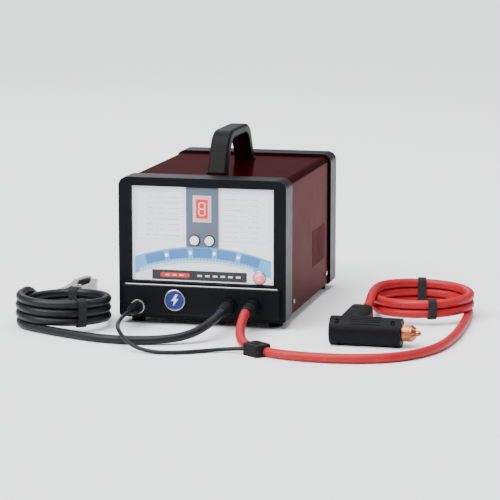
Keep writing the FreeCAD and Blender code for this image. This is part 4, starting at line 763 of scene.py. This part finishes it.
# %% The screw tree
screw = Grower("pan_head_screws", ["Head radius", "Head height", "Cross"])
HEAD_SIDES, DOME_FLATNESS, ARM_WIDTH, RECESS_LIFT = 28, 0.42, 0.28, 0.72
head_radius = screw.given("Head radius")
shank = screw.node("GeometryNodeMeshCylinder", {}, {"Vertices": HEAD_SIDES, "Radius": head_radius,
                                                    "Depth": screw.given("Head height")})
ball = screw.node("GeometryNodeMeshUVSphere", {}, {"Segments": HEAD_SIDES, "Rings": HEAD_SIDES // 2,
                                                   "Radius": head_radius})
dome = screw.node("GeometryNodeTransform", {}, {"Geometry": ball, "Scale": (1.0, 1.0, DOME_FLATNESS)})
head = screw.node("GeometryNodeMeshBoolean", {"operation": "UNION", "solver": "EXACT"},
                  {"Mesh": [shank, dome]})
reach = screw.given("Cross")
arm_size = screw.node("ShaderNodeCombineXYZ", {}, {0: reach, 1: screw.times("Cross", ARM_WIDTH), 2: reach})
arm = screw.node("GeometryNodeMeshCube", {}, {"Size": arm_size})
quarter_turn = (0.0, 0.0, math.radians(90))
turned_arm = screw.node("GeometryNodeTransform", {}, {"Geometry": arm, "Rotation": quarter_turn})
lift = screw.node("ShaderNodeCombineXYZ", {}, {2: screw.times("Cross", RECESS_LIFT)})
arms = screw.node("GeometryNodeJoinGeometry", {}, {0: [arm, turned_arm]})
raised = screw.node("GeometryNodeTransform", {}, {"Geometry": arms, "Translation": lift})
crossed = screw.node("GeometryNodeMeshBoolean", {"operation": "DIFFERENCE", "solver": "EXACT"},
                     {"Mesh 1": head, "Mesh 2": raised})
screw.copies(crossed)

# %% The rib tree
rib = Grower("rounded_ribs", ["Length", "Width", "Height"])
rod = rib.node("GeometryNodeMeshCylinder", {"fill_type": "NGON"},
               {"Vertices": 14, "Radius": 0.5, "Depth": 1.0})
rib_size = rib.node("ShaderNodeCombineXYZ", {}, {0: rib.given("Height"), 1: rib.given("Width"),
                                                2: rib.given("Length")})
rib.copies(rib.node("GeometryNodeTransform", {}, {"Geometry": rod, "Scale": rib_size}))
print("trees:", [tree.name for tree in bpy.data.node_groups])

# %% [markdown]
# ## Screws
# The cover is held by four pan-head screws in the sides. Four more hold the back moulding, and four hold
# the fan and its guard. They are all the same shape at different sizes, so the one tree makes them all. The
# cover's screws take the place of the plain discs of the frame.

# %% Place the screws
def corners_of(name, inset, level):
    """Screw places in the four corners of a node's back face."""
    low, high = node_box(name)
    return [((x, level, z), (0, 1, 0)) for x in (low.x + inset, high.x - inset)
            for z in (low.z + inset, high.z - inset)]


cover_side = node_box("cover")[1].x
heads_low, heads_high = node_box("cover_screws")
screw_z = (heads_low.z + heads_high.z) / 2
cover_spots = [((way * (cover_side + 1.0), y, screw_z), (way, 0, 0)) for way in (-1, 1)
               for y in (heads_low.y + 4, heads_high.y - 4)]
cover_screw_heads = screw.grow("cover_screw_heads", cover_spots, "screws", Head_radius=4.0, Head_height=2.0,
                               Cross=3.2)
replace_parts(cover_screw_heads, "cover_screws")
rear_y = node_box("rear_frame")[1].y
rear_spots = corners_of("rear_frame", 13, rear_y + 0.5)
screw.grow("rear_screw_heads", rear_spots, "screws", Head_radius=3.6, Head_height=1.6, Cross=2.9)
fan_spots = corners_of("fan_housing", 8.5, rear_y + 0.4)
screw.grow("fan_screw_heads", fan_spots, "screws", FINISHES["module_black"], Head_radius=3.2, Head_height=1.6,
           Cross=2.6)
print("screws:", len(cover_spots) + len(rear_spots) + len(fan_spots))

# %% [markdown]
# ## The operating panel
# The panel is a printed sheet: fine rows of settings at both sides, a grey column with a red numeral
# display, and an arched blue scale with a lamp at each function. Each print is a separate thin plate a
# tenth of a millimetre proud of the sheet. That keeps its edges sharp from every side, where a painted
# texture would blur.

# %% Finishes for the prints and the painted highlights
PRINTS = {
    "line_pink": printed("faint_pink_print", (0.72, 0.50, 0.52)),
    "line_sand": printed("faint_sand_print", (0.74, 0.68, 0.52)),
    "frame_blue": printed("pale_blue_print", (0.42, 0.60, 0.76)),
    "deep_blue": printed("deep_blue_print", (0.045, 0.19, 0.46)),
    "light_blue": printed("light_blue_print", (0.45, 0.68, 0.84)),
    "strip_black": printed("black_print", (0.010, 0.010, 0.012), 0.28),
    "strip_red": printed("red_print", (0.62, 0.02, 0.03), 0.3),
    # The pale finish serves real prints and also the painted highlights round the display and on the chin.
    "pale_mark_and_highlight": printed("pale_finish_and_highlight", (0.70, 0.72, 0.73), 0.3),
    "mark_red": printed("dull_red_print", (0.40, 0.03, 0.04), 0.35),
    "screen": lit("display_screen", (0.46, 0.008, 0.014), (0.80, 0.03, 0.03), 0.25, 0.3),
    "digit": lit("display_digit", (0.85, 0.24, 0.21), (1.0, 0.30, 0.24), 1.1, 0.3),
}
plate_low, plate_high = node_box("panel_plate")
column_low, column_high = node_box("display_column")
window_low, window_high = node_box("display_window")
PRINT_PROUD, PRINT_SUNK = 0.12, 0.05


def print_on(name, outlines, face, slot, finish, proud=PRINT_PROUD):
    """Flat prints on a face that looks to the front, and the painted highlight round the display."""
    return finished(name, slab_parts(outlines, face + PRINT_SUNK, face - proud), slot, PRINTS[finish])


def ring_frame(name, x, z, line, face, slot, finish):
    """A thin frame of four bars that meet at the corners: a print, and round the display a painted highlight.
    """
    bars = [bar(x, (z[0], z[0] + line)), bar(x, (z[1] - line, z[1])),
            bar((x[0], x[0] + line), (z[0] + line, z[1] - line)),
            bar((x[1] - line, x[1]), (z[0] + line, z[1] - line))]
    return print_on(name, bars, face, slot, finish)


# %% Rows of settings beside the column
ROWS, ROW_PITCH, ROW_TOP, WORD_GAP = 8, 8.2, plate_high.z - 17, 5
faint_rows, sand_rows = [], []
inner, outer = column_high.x + 9, plate_high.x - 9
for side, way in (("left", -1), ("right", 1)):
    for row in range(ROWS):
        z = ROW_TOP - ROW_PITCH * row
        widths = (20, 13, 9) if (row + way) % 3 else (30, 8, 6)
        x = inner
        for number, width in enumerate(widths):
            word = (x, x + width) if way > 0 else (-x - width, -x)
            (sand_rows if number == 1 else faint_rows).append(bar(word, (z, z + 1.1)))
            x += width + WORD_GAP
    ring_frame(f"settings_frame_{side}", sorted((way * (inner - 4), way * (outer + 3))),
               (ROW_TOP - ROW_PITCH * ROWS + 2, plate_high.z - 7), 0.45, plate_low.y, "band_blue",
               "frame_blue")
print_on("settings_rows", faint_rows, plate_low.y, "panel_white", "line_pink")
print_on("settings_values", sand_rows, plate_low.y, "panel_white", "line_sand")
print("rows of print:", len(faint_rows) + len(sand_rows))

# %% The numeral display
screen = bar((window_low.x + 4, window_high.x - 4), (window_low.z + 4.5, window_high.z - 4.5), 1.2)
print_on("display_screen", [screen], window_low.y, "display_red", "screen", 0.25)
DIGIT_WIDTH, DIGIT_HEIGHT, STROKE = 9.0, 19.0, 1.9


def segment(start, end, stroke):
    """One bar of a seven-part numeral, pointed at both ends."""
    start, end = Vector(start), Vector(end)
    along = (end - start).normalized()
    across = Vector((-along.y, along.x)) * stroke / 2
    tip, reach = along * stroke / 2, along * 0.25
    corners = [start + reach, start + tip + reach - across, end - tip - reach - across, end - reach,
               end - tip - reach + across, start + tip + reach + across]
    return [tuple(corner) for corner in corners]


digit_x, _, digit_z = centre_of("display_window")
left, right = digit_x - DIGIT_WIDTH / 2, digit_x + DIGIT_WIDTH / 2
low, high = digit_z - DIGIT_HEIGHT / 2, digit_z + DIGIT_HEIGHT / 2
strokes = [segment((left, z), (right, z), STROKE) for z in (low, digit_z, high)]
strokes += [segment((x, a), (x, b), STROKE) for x in (left, right)
            for a, b in ((low, digit_z), (digit_z, high))]
print_on("display_digit", strokes, window_low.y - 0.2, "display_red", "digit", 0.2)
# A pale thin frame round the window is a painted highlight along the window's edge.
ring_frame("display_rim_highlight", (window_low.x - 1.2, window_high.x + 1.2),
           (window_low.z - 1.2, window_high.z + 1.2), 1.0, column_low.y, "column_grey", "pale_mark_and_highlight")
print("strokes of the numeral:", len(strokes))

# %% Button rings and arrow marks
button_marks, button_rings = [], []
ring_profile = [(8.6, 0.0), (8.6, 0.8), (8.0, 1.1), (7.35, 1.0), (7.35, 0.0), (8.6, 0.0)]
for name, way in (("button_down", -1), ("button_up", 1)):
    x, _, z = centre_of(name)
    top = z + 13.5
    button_marks.append([(x - 2.6, top - 1.6 * way), (x + 2.6, top - 1.6 * way), (x, top + 2.6 * way)])
    button_rings.append(turned_parts(ring_profile, (x, column_low.y, z), "-Y"))
print_on("button_marks", button_marks, column_low.y, "trigger_red", "mark_red")
finished("button_rings", together(button_rings), "module_black")
print("button rings:", len(button_rings))

# %% The arched scale
band_low, band_high = node_box("blue_band")
ARCH_RADIUS = 315.0
arch_z = band_high.z - ARCH_RADIUS


def arch(inner_radius, outer_radius, start, end, steps=10):
    """A piece of the arch between two radii and two angles from the top."""
    outline = []
    for radius, order in ((inner_radius, range(steps + 1)), (outer_radius, range(steps, -1, -1))):
        for step in order:
            angle = math.radians(start + (end - start) * step / steps)
            outline.append((radius * math.sin(angle), arch_z + radius * math.cos(angle)))
    return outline


fields = [arch(298.5, 312.5, middle - 2.75, middle + 2.75) for middle in (-14, -7, 0, 7, 14)]
print_on("scale_fields", fields, band_low.y, "band_blue", "deep_blue")
print_on("scale_edge", [arch(291.2, 294.6, -19.6, 15.6, 40)], band_low.y, "band_blue", "light_blue")
ticks = [arch(295.4, 297.4, angle - 0.12, angle + 0.12, 1) for angle in range(-19, 16)]
print_on("scale_ticks", ticks, band_low.y, "panel_white", "pale_mark_and_highlight")
print("scale fields:", len(fields), "ticks:", len(ticks))

# %% The strip under the scale, left without a name
STRIP_X, STRIP_FOOT, STRIP_TOP = (-79, 69), plate_low.z + 2, plate_low.z + 17
print_on("name_strip", [bar(STRIP_X, (STRIP_FOOT, STRIP_TOP), 1.5)], plate_low.y, "module_black",
         "strip_black")
strip_face = plate_low.y - PRINT_PROUD
print_on("strip_lozenge", [bar((-66, -20), (STRIP_FOOT + 4, STRIP_TOP - 4), 3.2)], strip_face, "trigger_red",
         "strip_red", 0.08)
dashes = [bar((x, x + 6), (STRIP_FOOT + 6.6, STRIP_FOOT + 8.4)) for x in range(-58, -35, 11)]
dashes += [bar((x, x + 7), (STRIP_FOOT + 6, STRIP_FOOT + 9)) for x in range(-8, 53, 12)]
print_on("strip_dashes", dashes, strip_face - 0.06, "panel_white", "pale_mark_and_highlight", 0.06)
print("dashes:", len(dashes))

# %% The pilot lamp's bezel and the badge
pilot_x, _, pilot_z = centre_of("pilot_lamp")
bezel = [(10.2, 0.0), (10.2, 1.0), (9.4, 1.8), (8.35, 1.9), (8.15, 1.2), (8.15, 0.0), (10.2, 0.0)]
finished("pilot_bezel", turned_parts(bezel, (pilot_x, plate_low.y, pilot_z), "-Y", 56), "wire_guard")
badge_x, _, badge_z = centre_of("badge_disc")
badge_y = node_box("badge_disc")[0].y
badge_rim = [(16.2, 0.0), (16.2, 0.9), (15.4, 1.35), (14.6, 1.2), (14.4, 0.0), (16.2, 0.0)]
finished("badge_rim", turned_parts(badge_rim, (badge_x, badge_y + 0.2, badge_z), "-Y", 64), "wire_guard")
bolt = [(1.5, 9), (-5.5, -1.2), (-0.9, -1.2), (-2.6, -9), (5.5, 1.8), (0.9, 1.8), (5.0, 9)]
print_on("badge_mark", [[(badge_x + x, badge_z + z) for x, z in bolt]], badge_y, "panel_white",
         "pale_mark_and_highlight", 0.2)
print("marks in the badge:", len(bolt), "corners")

# %% [markdown]
# ## Sleeves, glands and the plug
# A cable leaves its gland through a rubber sleeve that gets thinner and has rings cut in it, so that it
# bends in an even curve. The rings are part of a turned outline, so one outline makes the whole sleeve. The
# knurls on the gland and on the plug are ribs that the rib tree sets round a circle.

# %% Ringed sleeves
def ringed_sleeve(root, end, length, ribs, depth, lip):
    """The half outline of a tapered sleeve with grooves."""
    profile = [(0.0, 0.0), (root + lip, 0.0), (root + lip, 1.6)]
    pitch = (length - 5) / ribs
    for index in range(ribs):
        near = 2.2 + pitch * index
        radius = root + (end - root) * near / length
        profile += [(radius - depth, near), (radius - depth, near + pitch * 0.3),
                    (radius, near + pitch * 0.42), (radius, near + pitch * 0.9)]
    return profile + [(end - 0.1, length - 1.2), (end - 0.6, length - 0.2), (0.0, length - 0.2)]


boots_low, boots_high = node_box("cable_boots")
outlet_z = (boots_low.z + boots_high.z) / 2
outlet_xs = (boots_low.x + 10, boots_high.x - 10)
sleeve = ringed_sleeve(10.0, 8.0, boots_high.y - boots_low.y, 6, 1.3, 0.5)
sleeves = [turned_parts(sleeve, (x, boots_high.y, outlet_z), "-Y", 44) for x in outlet_xs]
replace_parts(finished("ringed_sleeves", together(sleeves), "soft_rubber"), "cable_boots")
boot_x, _, boot_z = centre_of("gun_cable_boot")
boot_y = node_box("gun_cable_boot")[0].y
gun_rings = []
for index in range(4):
    rim = 11.2 - 0.55 * index
    ring_profile = [(8.0, 0.0), (rim, 0.0), (rim, 1.7), (8.0, 1.7), (8.0, 0.0)]
    gun_rings.append(turned_parts(ring_profile, (boot_x, boot_y + 8.2 + 4.0 * index, boot_z), "+Y"))
finished("gun_sleeve_rings", together(gun_rings), "soft_rubber")
print("sleeves:", len(sleeves), "rings on the gun's sleeve:", len(gun_rings))

# %% Knurls on the glands and the plug
nuts_y = node_box("gland_nuts")[0].y
knurls = [spot for x in outlet_xs for spot in circle_of((x, nuts_y + 6.2, outlet_z), (0, 1, 0), 10.9, 18)]
rib.grow("gland_knurls", knurls, "end_frames", Length=6.0, Width=1.5, Height=1.5)
plug_x, _, plug_z = centre_of("control_plug")
plug_y = node_box("control_plug")[1].y
plug_spots = circle_of((plug_x, plug_y - 12, plug_z), (0, 1, 0), 8.9, 26)
rib.grow("plug_knurls", plug_spots, "handle_black", FINISHES["module_black"], Length=17.0, Width=1.2,
         Height=1.2)
socket_ring = [(11.6, 0.0), (11.6, 1.4), (10.8, 2.2), (9.3, 2.2), (9.3, 0.0), (11.6, 0.0)]
finished("socket_nut", turned_parts(socket_ring, (plug_x, plug_y, plug_z), "-Y", 6), "wire_guard", smooth=20)
print("knurls:", len(knurls) + len(plug_spots))

# %% [markdown]
# ## The carrying handle and the back
# A soft grip pad runs along the handle's crown, and ribs under it stop a gloved hand from slipping. The
# back has a blank rating plate on four rivets, and the mains switch has the two usual marks for on and off.

# %% Grip pad and collars
handle_low, handle_high = node_box("handle")
crown = handle_high.z
pad = slab_parts([bar((-10, 10), (-26, 26), 5, 6)], crown - 0.6, crown - 0.02, "Z")
finished("grip_pad", pad, "soft_rubber")
under_spots = [((0, y, crown - 14.0), (1, 0, 0)) for y in range(-24, 25, 6)]
rib.grow("finger_ribs", under_spots, "soft_rubber", Length=24.0, Width=3.0, Height=1.6)
for name, y in (("front", handle_low.y + 7), ("back", handle_high.y - 7)):
    collar = bar((-16.2, 16.2), (y - 9, y + 9), 2.5)
    finished(f"handle_collar_{name}", slab_parts([collar], handle_low.z + 0.02, handle_low.z + 1.8, "Z"),
             "handle_black")
print("ribs under the handle:", len(under_spots))

# %% Rating plate and switch marks
PLATE_X, PLATE_Z = (-100, -40), (92, 132)
plate = slab_parts([bar(PLATE_X, PLATE_Z, 2)], rear_y - 0.02, rear_y + 0.5)
finished("rating_plate", plate, "aluminium_parts")
lines = [bar((PLATE_X[0] + 6, PLATE_X[1] - 6), (z, z + 0.7)) for z in range(98, 128, 6)]
lines += [bar((x, x + 0.7), (98, 122)) for x in (-78, -62)]
finished("rating_lines", slab_parts(lines, rear_y + 0.45, rear_y + 0.58), "module_black",
         PRINTS["strip_black"])
rivet = [(0, 0), (1.8, 0), (1.6, 0.7), (0.9, 1.1), (0, 1.2)]
rivets = [turned_parts(rivet, (x, rear_y + 0.4, z), "+Y", 20) for x in (PLATE_X[0] + 3, PLATE_X[1] - 3)
          for z in (PLATE_Z[0] + 3, PLATE_Z[1] - 3)]
finished("plate_rivets", together(rivets), "screws")
switch_low, switch_high = node_box("switch_body")
switch_x, _, switch_z = centre_of("switch_body")
mark_rise, mark_y = (switch_high.z - switch_low.z) / 2 - 2, switch_high.y
on_bar = bar((switch_x - 0.3, switch_x + 0.3), (switch_z + mark_rise - 1, switch_z + mark_rise + 1))
off_ring = [(1.1, 0.0), (1.1, 0.1), (0.65, 0.1), (0.65, 0.0), (1.1, 0.0)]
marks = together([slab_parts([on_bar], mark_y - 0.02, mark_y + 0.1),
                  turned_parts(off_ring, (switch_x, mark_y, switch_z - mark_rise), "+Y", 24)])
finished("switch_marks", marks, "panel_white", PRINTS["pale_mark_and_highlight"])
print("rivets:", len(rivets), "lines on the plate:", len(lines))

# %% [markdown]
# ## The chin's painted highlight
# The front moulding steps forward under the panel. A thin pale strip along the edge of that step is a painted
# highlight, where the edge catches the light.

# %% A rounded strip of painted highlight
frame_low = node_box("front_frame")[0]
highlight_z = frame_low.z + 52
# A pale strip as a painted highlight along the step's edge.
highlight_strip = bar((-118, 118), (highlight_z - 0.2, highlight_z + 0.9), 0.4, 3)
finished("chin_edge_highlight", slab_parts([highlight_strip], frame_low.y + 3.4, frame_low.y + 1.4), "clamp_steel",
         PRINTS["pale_mark_and_highlight"])
print("ledge at", round(highlight_z, 1), "mm")

# %% [markdown]
# ## The pistol gun
# The gun's handle is moulded in two shells with ribs for the fingers. The ribs are long and low, so they
# are half-sunk rods from the rib tree. The trigger has its own small ribs, which ride on the trigger so
# that they swing with it. The knurls on the nut turn with the nut.

# %% Ribs on the grip, the barrel, the trigger and the nut
GUN_Y, GUN_Z, GRIP_X, BARREL_RIB_X = -265, 21, 240, 267
BARREL_RIB_RADIUS, NUT_RIB_RADIUS = 20.7, 11.9
ALONG_X = (1, 0, 0)
grip_z = node_box("gun_shell_upper")[1].z - 2.0
grip_spots = [((GRIP_X, y, grip_z), ALONG_X) for y in (*range(-214, -196, 5), *range(-183, -166, 5))]
rib.grow("grip_ribs", grip_spots, "gun_black", FINISHES["soft_rubber"], Length=19.0, Width=2.4, Height=1.4)
barrel_ribs = []
for degrees in (-50, -38, -26, -14, 0, 14, 26, 38, 50):
    across, up = math.sin(math.radians(degrees)), math.cos(math.radians(degrees))
    place = (BARREL_RIB_X, GUN_Y + BARREL_RIB_RADIUS * across, GUN_Z + BARREL_RIB_RADIUS * up)
    barrel_ribs.append((place, ALONG_X))
rib.grow("barrel_ribs", barrel_ribs, "gun_black", Length=44.0, Width=2.4, Height=2.2)
trigger_line = [(262.2, -239), (261.3, -234.4), (260.9, -229.8), (261.9, -225.2), (263.5, -220.6),
                (265.1, -216)]
trigger_spots = [((x, y, GUN_Z), (0, 0, 1)) for x, y in trigger_line]
rib.grow("trigger_ribs", trigger_spots, "trigger_red", body="trigger_body", Length=9.5, Width=1.3, Height=1.3)
nut_spots = circle_of((node_box("collet_nut")[0].x + 7, GUN_Y, GUN_Z), ALONG_X, NUT_RIB_RADIUS, 36)
rib.grow("nut_knurls", nut_spots, "copper", body="nut_body", Length=12.0, Width=0.9, Height=0.9)
print("ribs:", len(grip_spots) + len(barrel_ribs) + len(trigger_spots) + len(nut_spots))

# %% [markdown]
# ## The moulded branch
# The thin trigger lead leaves the red cable in a small rubber block. Five ribs lie across the top of the
# block.

# %% Ribs on the moulded branch
branch_low, branch_high = node_box("cable_branch")
branch_middle = (branch_low + branch_high) / 2
branch_top = Vector((branch_middle.x, branch_middle.y, branch_high.z - 0.2))
branch_way, branch_across = Vector((0.8, -0.6, 0)), Vector((0.6, 0.8, 0))
branch_spots = [(branch_top + branch_way * step, branch_across) for step in (-9, -4.5, 0, 4.5, 9)]
rib.grow("branch_ribs", branch_spots, "soft_rubber", Length=19.0, Width=1.6, Height=1.6)
print("ribs on the branch:", len(branch_spots))

# %% [markdown]
# ## The earth clamp
# The clamp is pressed steel with dipped vinyl sleeves on its handles. Its coiled spring sits on the pin
# between the levers, and the pin is riveted over. The sleeve is the lever's own outline a little larger, so
# it follows the taper. The spring is a round wire along a helix.

# %% Sleeves on the handles
CLAMP_X, CLAMP_Y, COAT = -251.0, -27.0, 0.8


def handle_sleeve(way, low, high):
    """The vinyl over one handle: the lever's outline, grown by the coat and rounded at its end."""
    outer_end, inner_end = -31 - COAT * 0.2, -15 + COAT
    outline = [(outer_end + 2.5, -85 - COAT), (inner_end - 2.5, -85 - COAT), (inner_end - 0.7, -84.2),
               (inner_end, -82), (inner_end + 5.2, -50), (inner_end + 4.6, -49), (-21.4 - COAT, -49.6),
               (-22.4 - COAT, -51), (outer_end, -82), (outer_end + 0.7, -84.2)]
    points = [(CLAMP_X + x * way, CLAMP_Y + y) for x, y in outline]
    return slab_parts([points if way > 0 else points[::-1]], low, high, "Z")


vinyl = rubber("dark_vinyl", (0.014, 0.014, 0.015), 0.45)
finished("fixed_handle_sleeve", handle_sleeve(1, 0.05, 24.8), "soft_rubber", vinyl)
finished("moving_handle_sleeve", handle_sleeve(-1, 3.5, 20.5), "soft_rubber", vinyl, "clamp_arm_body")
print("vinyl coat:", COAT, "mm")

# %% The spring and the rivet
SPRING_TURNS, SPRING_STEPS, SPRING_RADIUS, SPRING_FOOT, SPRING_RISE = 4, 20, 4.9, 9.6, 4.8
spring_curve = bpy.data.curves.new("spring_wire", "CURVE")
spring_curve.dimensions = "3D"
wire = spring_curve.splines.new("POLY")
wire.points.add(SPRING_TURNS * SPRING_STEPS)
for index, point in enumerate(wire.points):
    angle = 2 * math.pi * index / SPRING_STEPS
    level = SPRING_FOOT + SPRING_RISE * index / (SPRING_TURNS * SPRING_STEPS)
    x, y = CLAMP_X + SPRING_RADIUS * math.cos(angle), CLAMP_Y + SPRING_RADIUS * math.sin(angle)
    point.co = (x * MM, y * MM, level * MM, 1.0)
spring_curve.bevel_depth = 0.55 * MM
spring_curve.bevel_resolution = 3
spring_curve.use_fill_caps = True
spring_holder = bpy.data.objects.new("spring_wire", spring_curve)
bpy.context.scene.collection.objects.link(spring_holder)
drawn_wire = spring_holder.evaluated_get(bpy.context.evaluated_depsgraph_get())
spring_mesh = bpy.data.meshes.new_from_object(drawn_wire)
bpy.data.objects.remove(spring_holder)
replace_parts(mounted("coiled_spring", spring_mesh, "screws"), "clamp_spring")
rivet_profile = [(0, 0), (5.0, 0), (4.8, 0.8), (3.4, 1.5), (1.6, 1.8), (0, 1.85)]
finished("rivet_head", turned_parts(rivet_profile, (CLAMP_X, CLAMP_Y, 24.0), "+Z", 32), "screws")
print("spring turns:", SPRING_TURNS)

# %% [markdown]
# ## Straps round the coils
# Spare cable is kept tidy with hook-and-loop straps. A strap is a flat band that closes round the turns, so
# it is swept round a rectangle with large corners. Its width lies along the cable, and its height follows
# how many turns are stacked at that side of the coil.

# %% Hook-and-loop straps
strap_finish = Finish("woven_strap", 0.85, Specular_IOR_Level=0.2)
weave = strap_finish.noise(0.7, 2, (1.0, 1.0, 0.35))
strap_finish.put("Base Color", strap_finish.blend(weave, (0.006, 0.006, 0.007), (0.028, 0.028, 0.030)))
strap_finish.put("Roughness", weave * 0.15 + 0.78)
strap_finish.bump(weave, 0.5, 0.25)


def strap(coil, diameter, degrees, low_turn, high_turn):
    """A band with its tab round the stacked turns at one side of a coil, given as centre and radius."""
    (x, y), radius = coil
    out = Vector((math.cos(math.radians(degrees)), math.sin(math.radians(degrees)), 0))
    up = Vector((0, 0, 1))
    half = diameter / 2 + 0.9
    low, high = max(low_turn - half, 1.0), high_turn + half - 0.2
    middle = (low + high) / 2
    band = bar((radius - half, radius + half), (low, high), diameter * 0.42, 6)
    tab = bar((radius + half + 0.9, radius + half + 1.9), (middle - 9, middle + 9))
    groups = []
    for outline, width, thickness in ((band, 13, 1.0), (tab, 11, 0.4)):
        path = [Vector((x, y, 0)) + out * u + up * v for u, v in outline]
        groups.append(wrapped_parts(path, out.cross(up), width, thickness))
    return groups


gun_straps = strap(GUN_COIL, 14, 100, 10.9, 38.9) + strap(GUN_COIL, 14, 290, 18.3, 32.3)
earth_straps = strap(EARTH_COIL, 13, 95, 11.7, 37.7) + strap(EARTH_COIL, 13, -50, 17.0, 43.0)
finished("gun_cable_straps", together(gun_straps), "black_jacket", strap_finish.material)
finished("earth_cable_straps", together(earth_straps), "black_jacket", strap_finish.material)
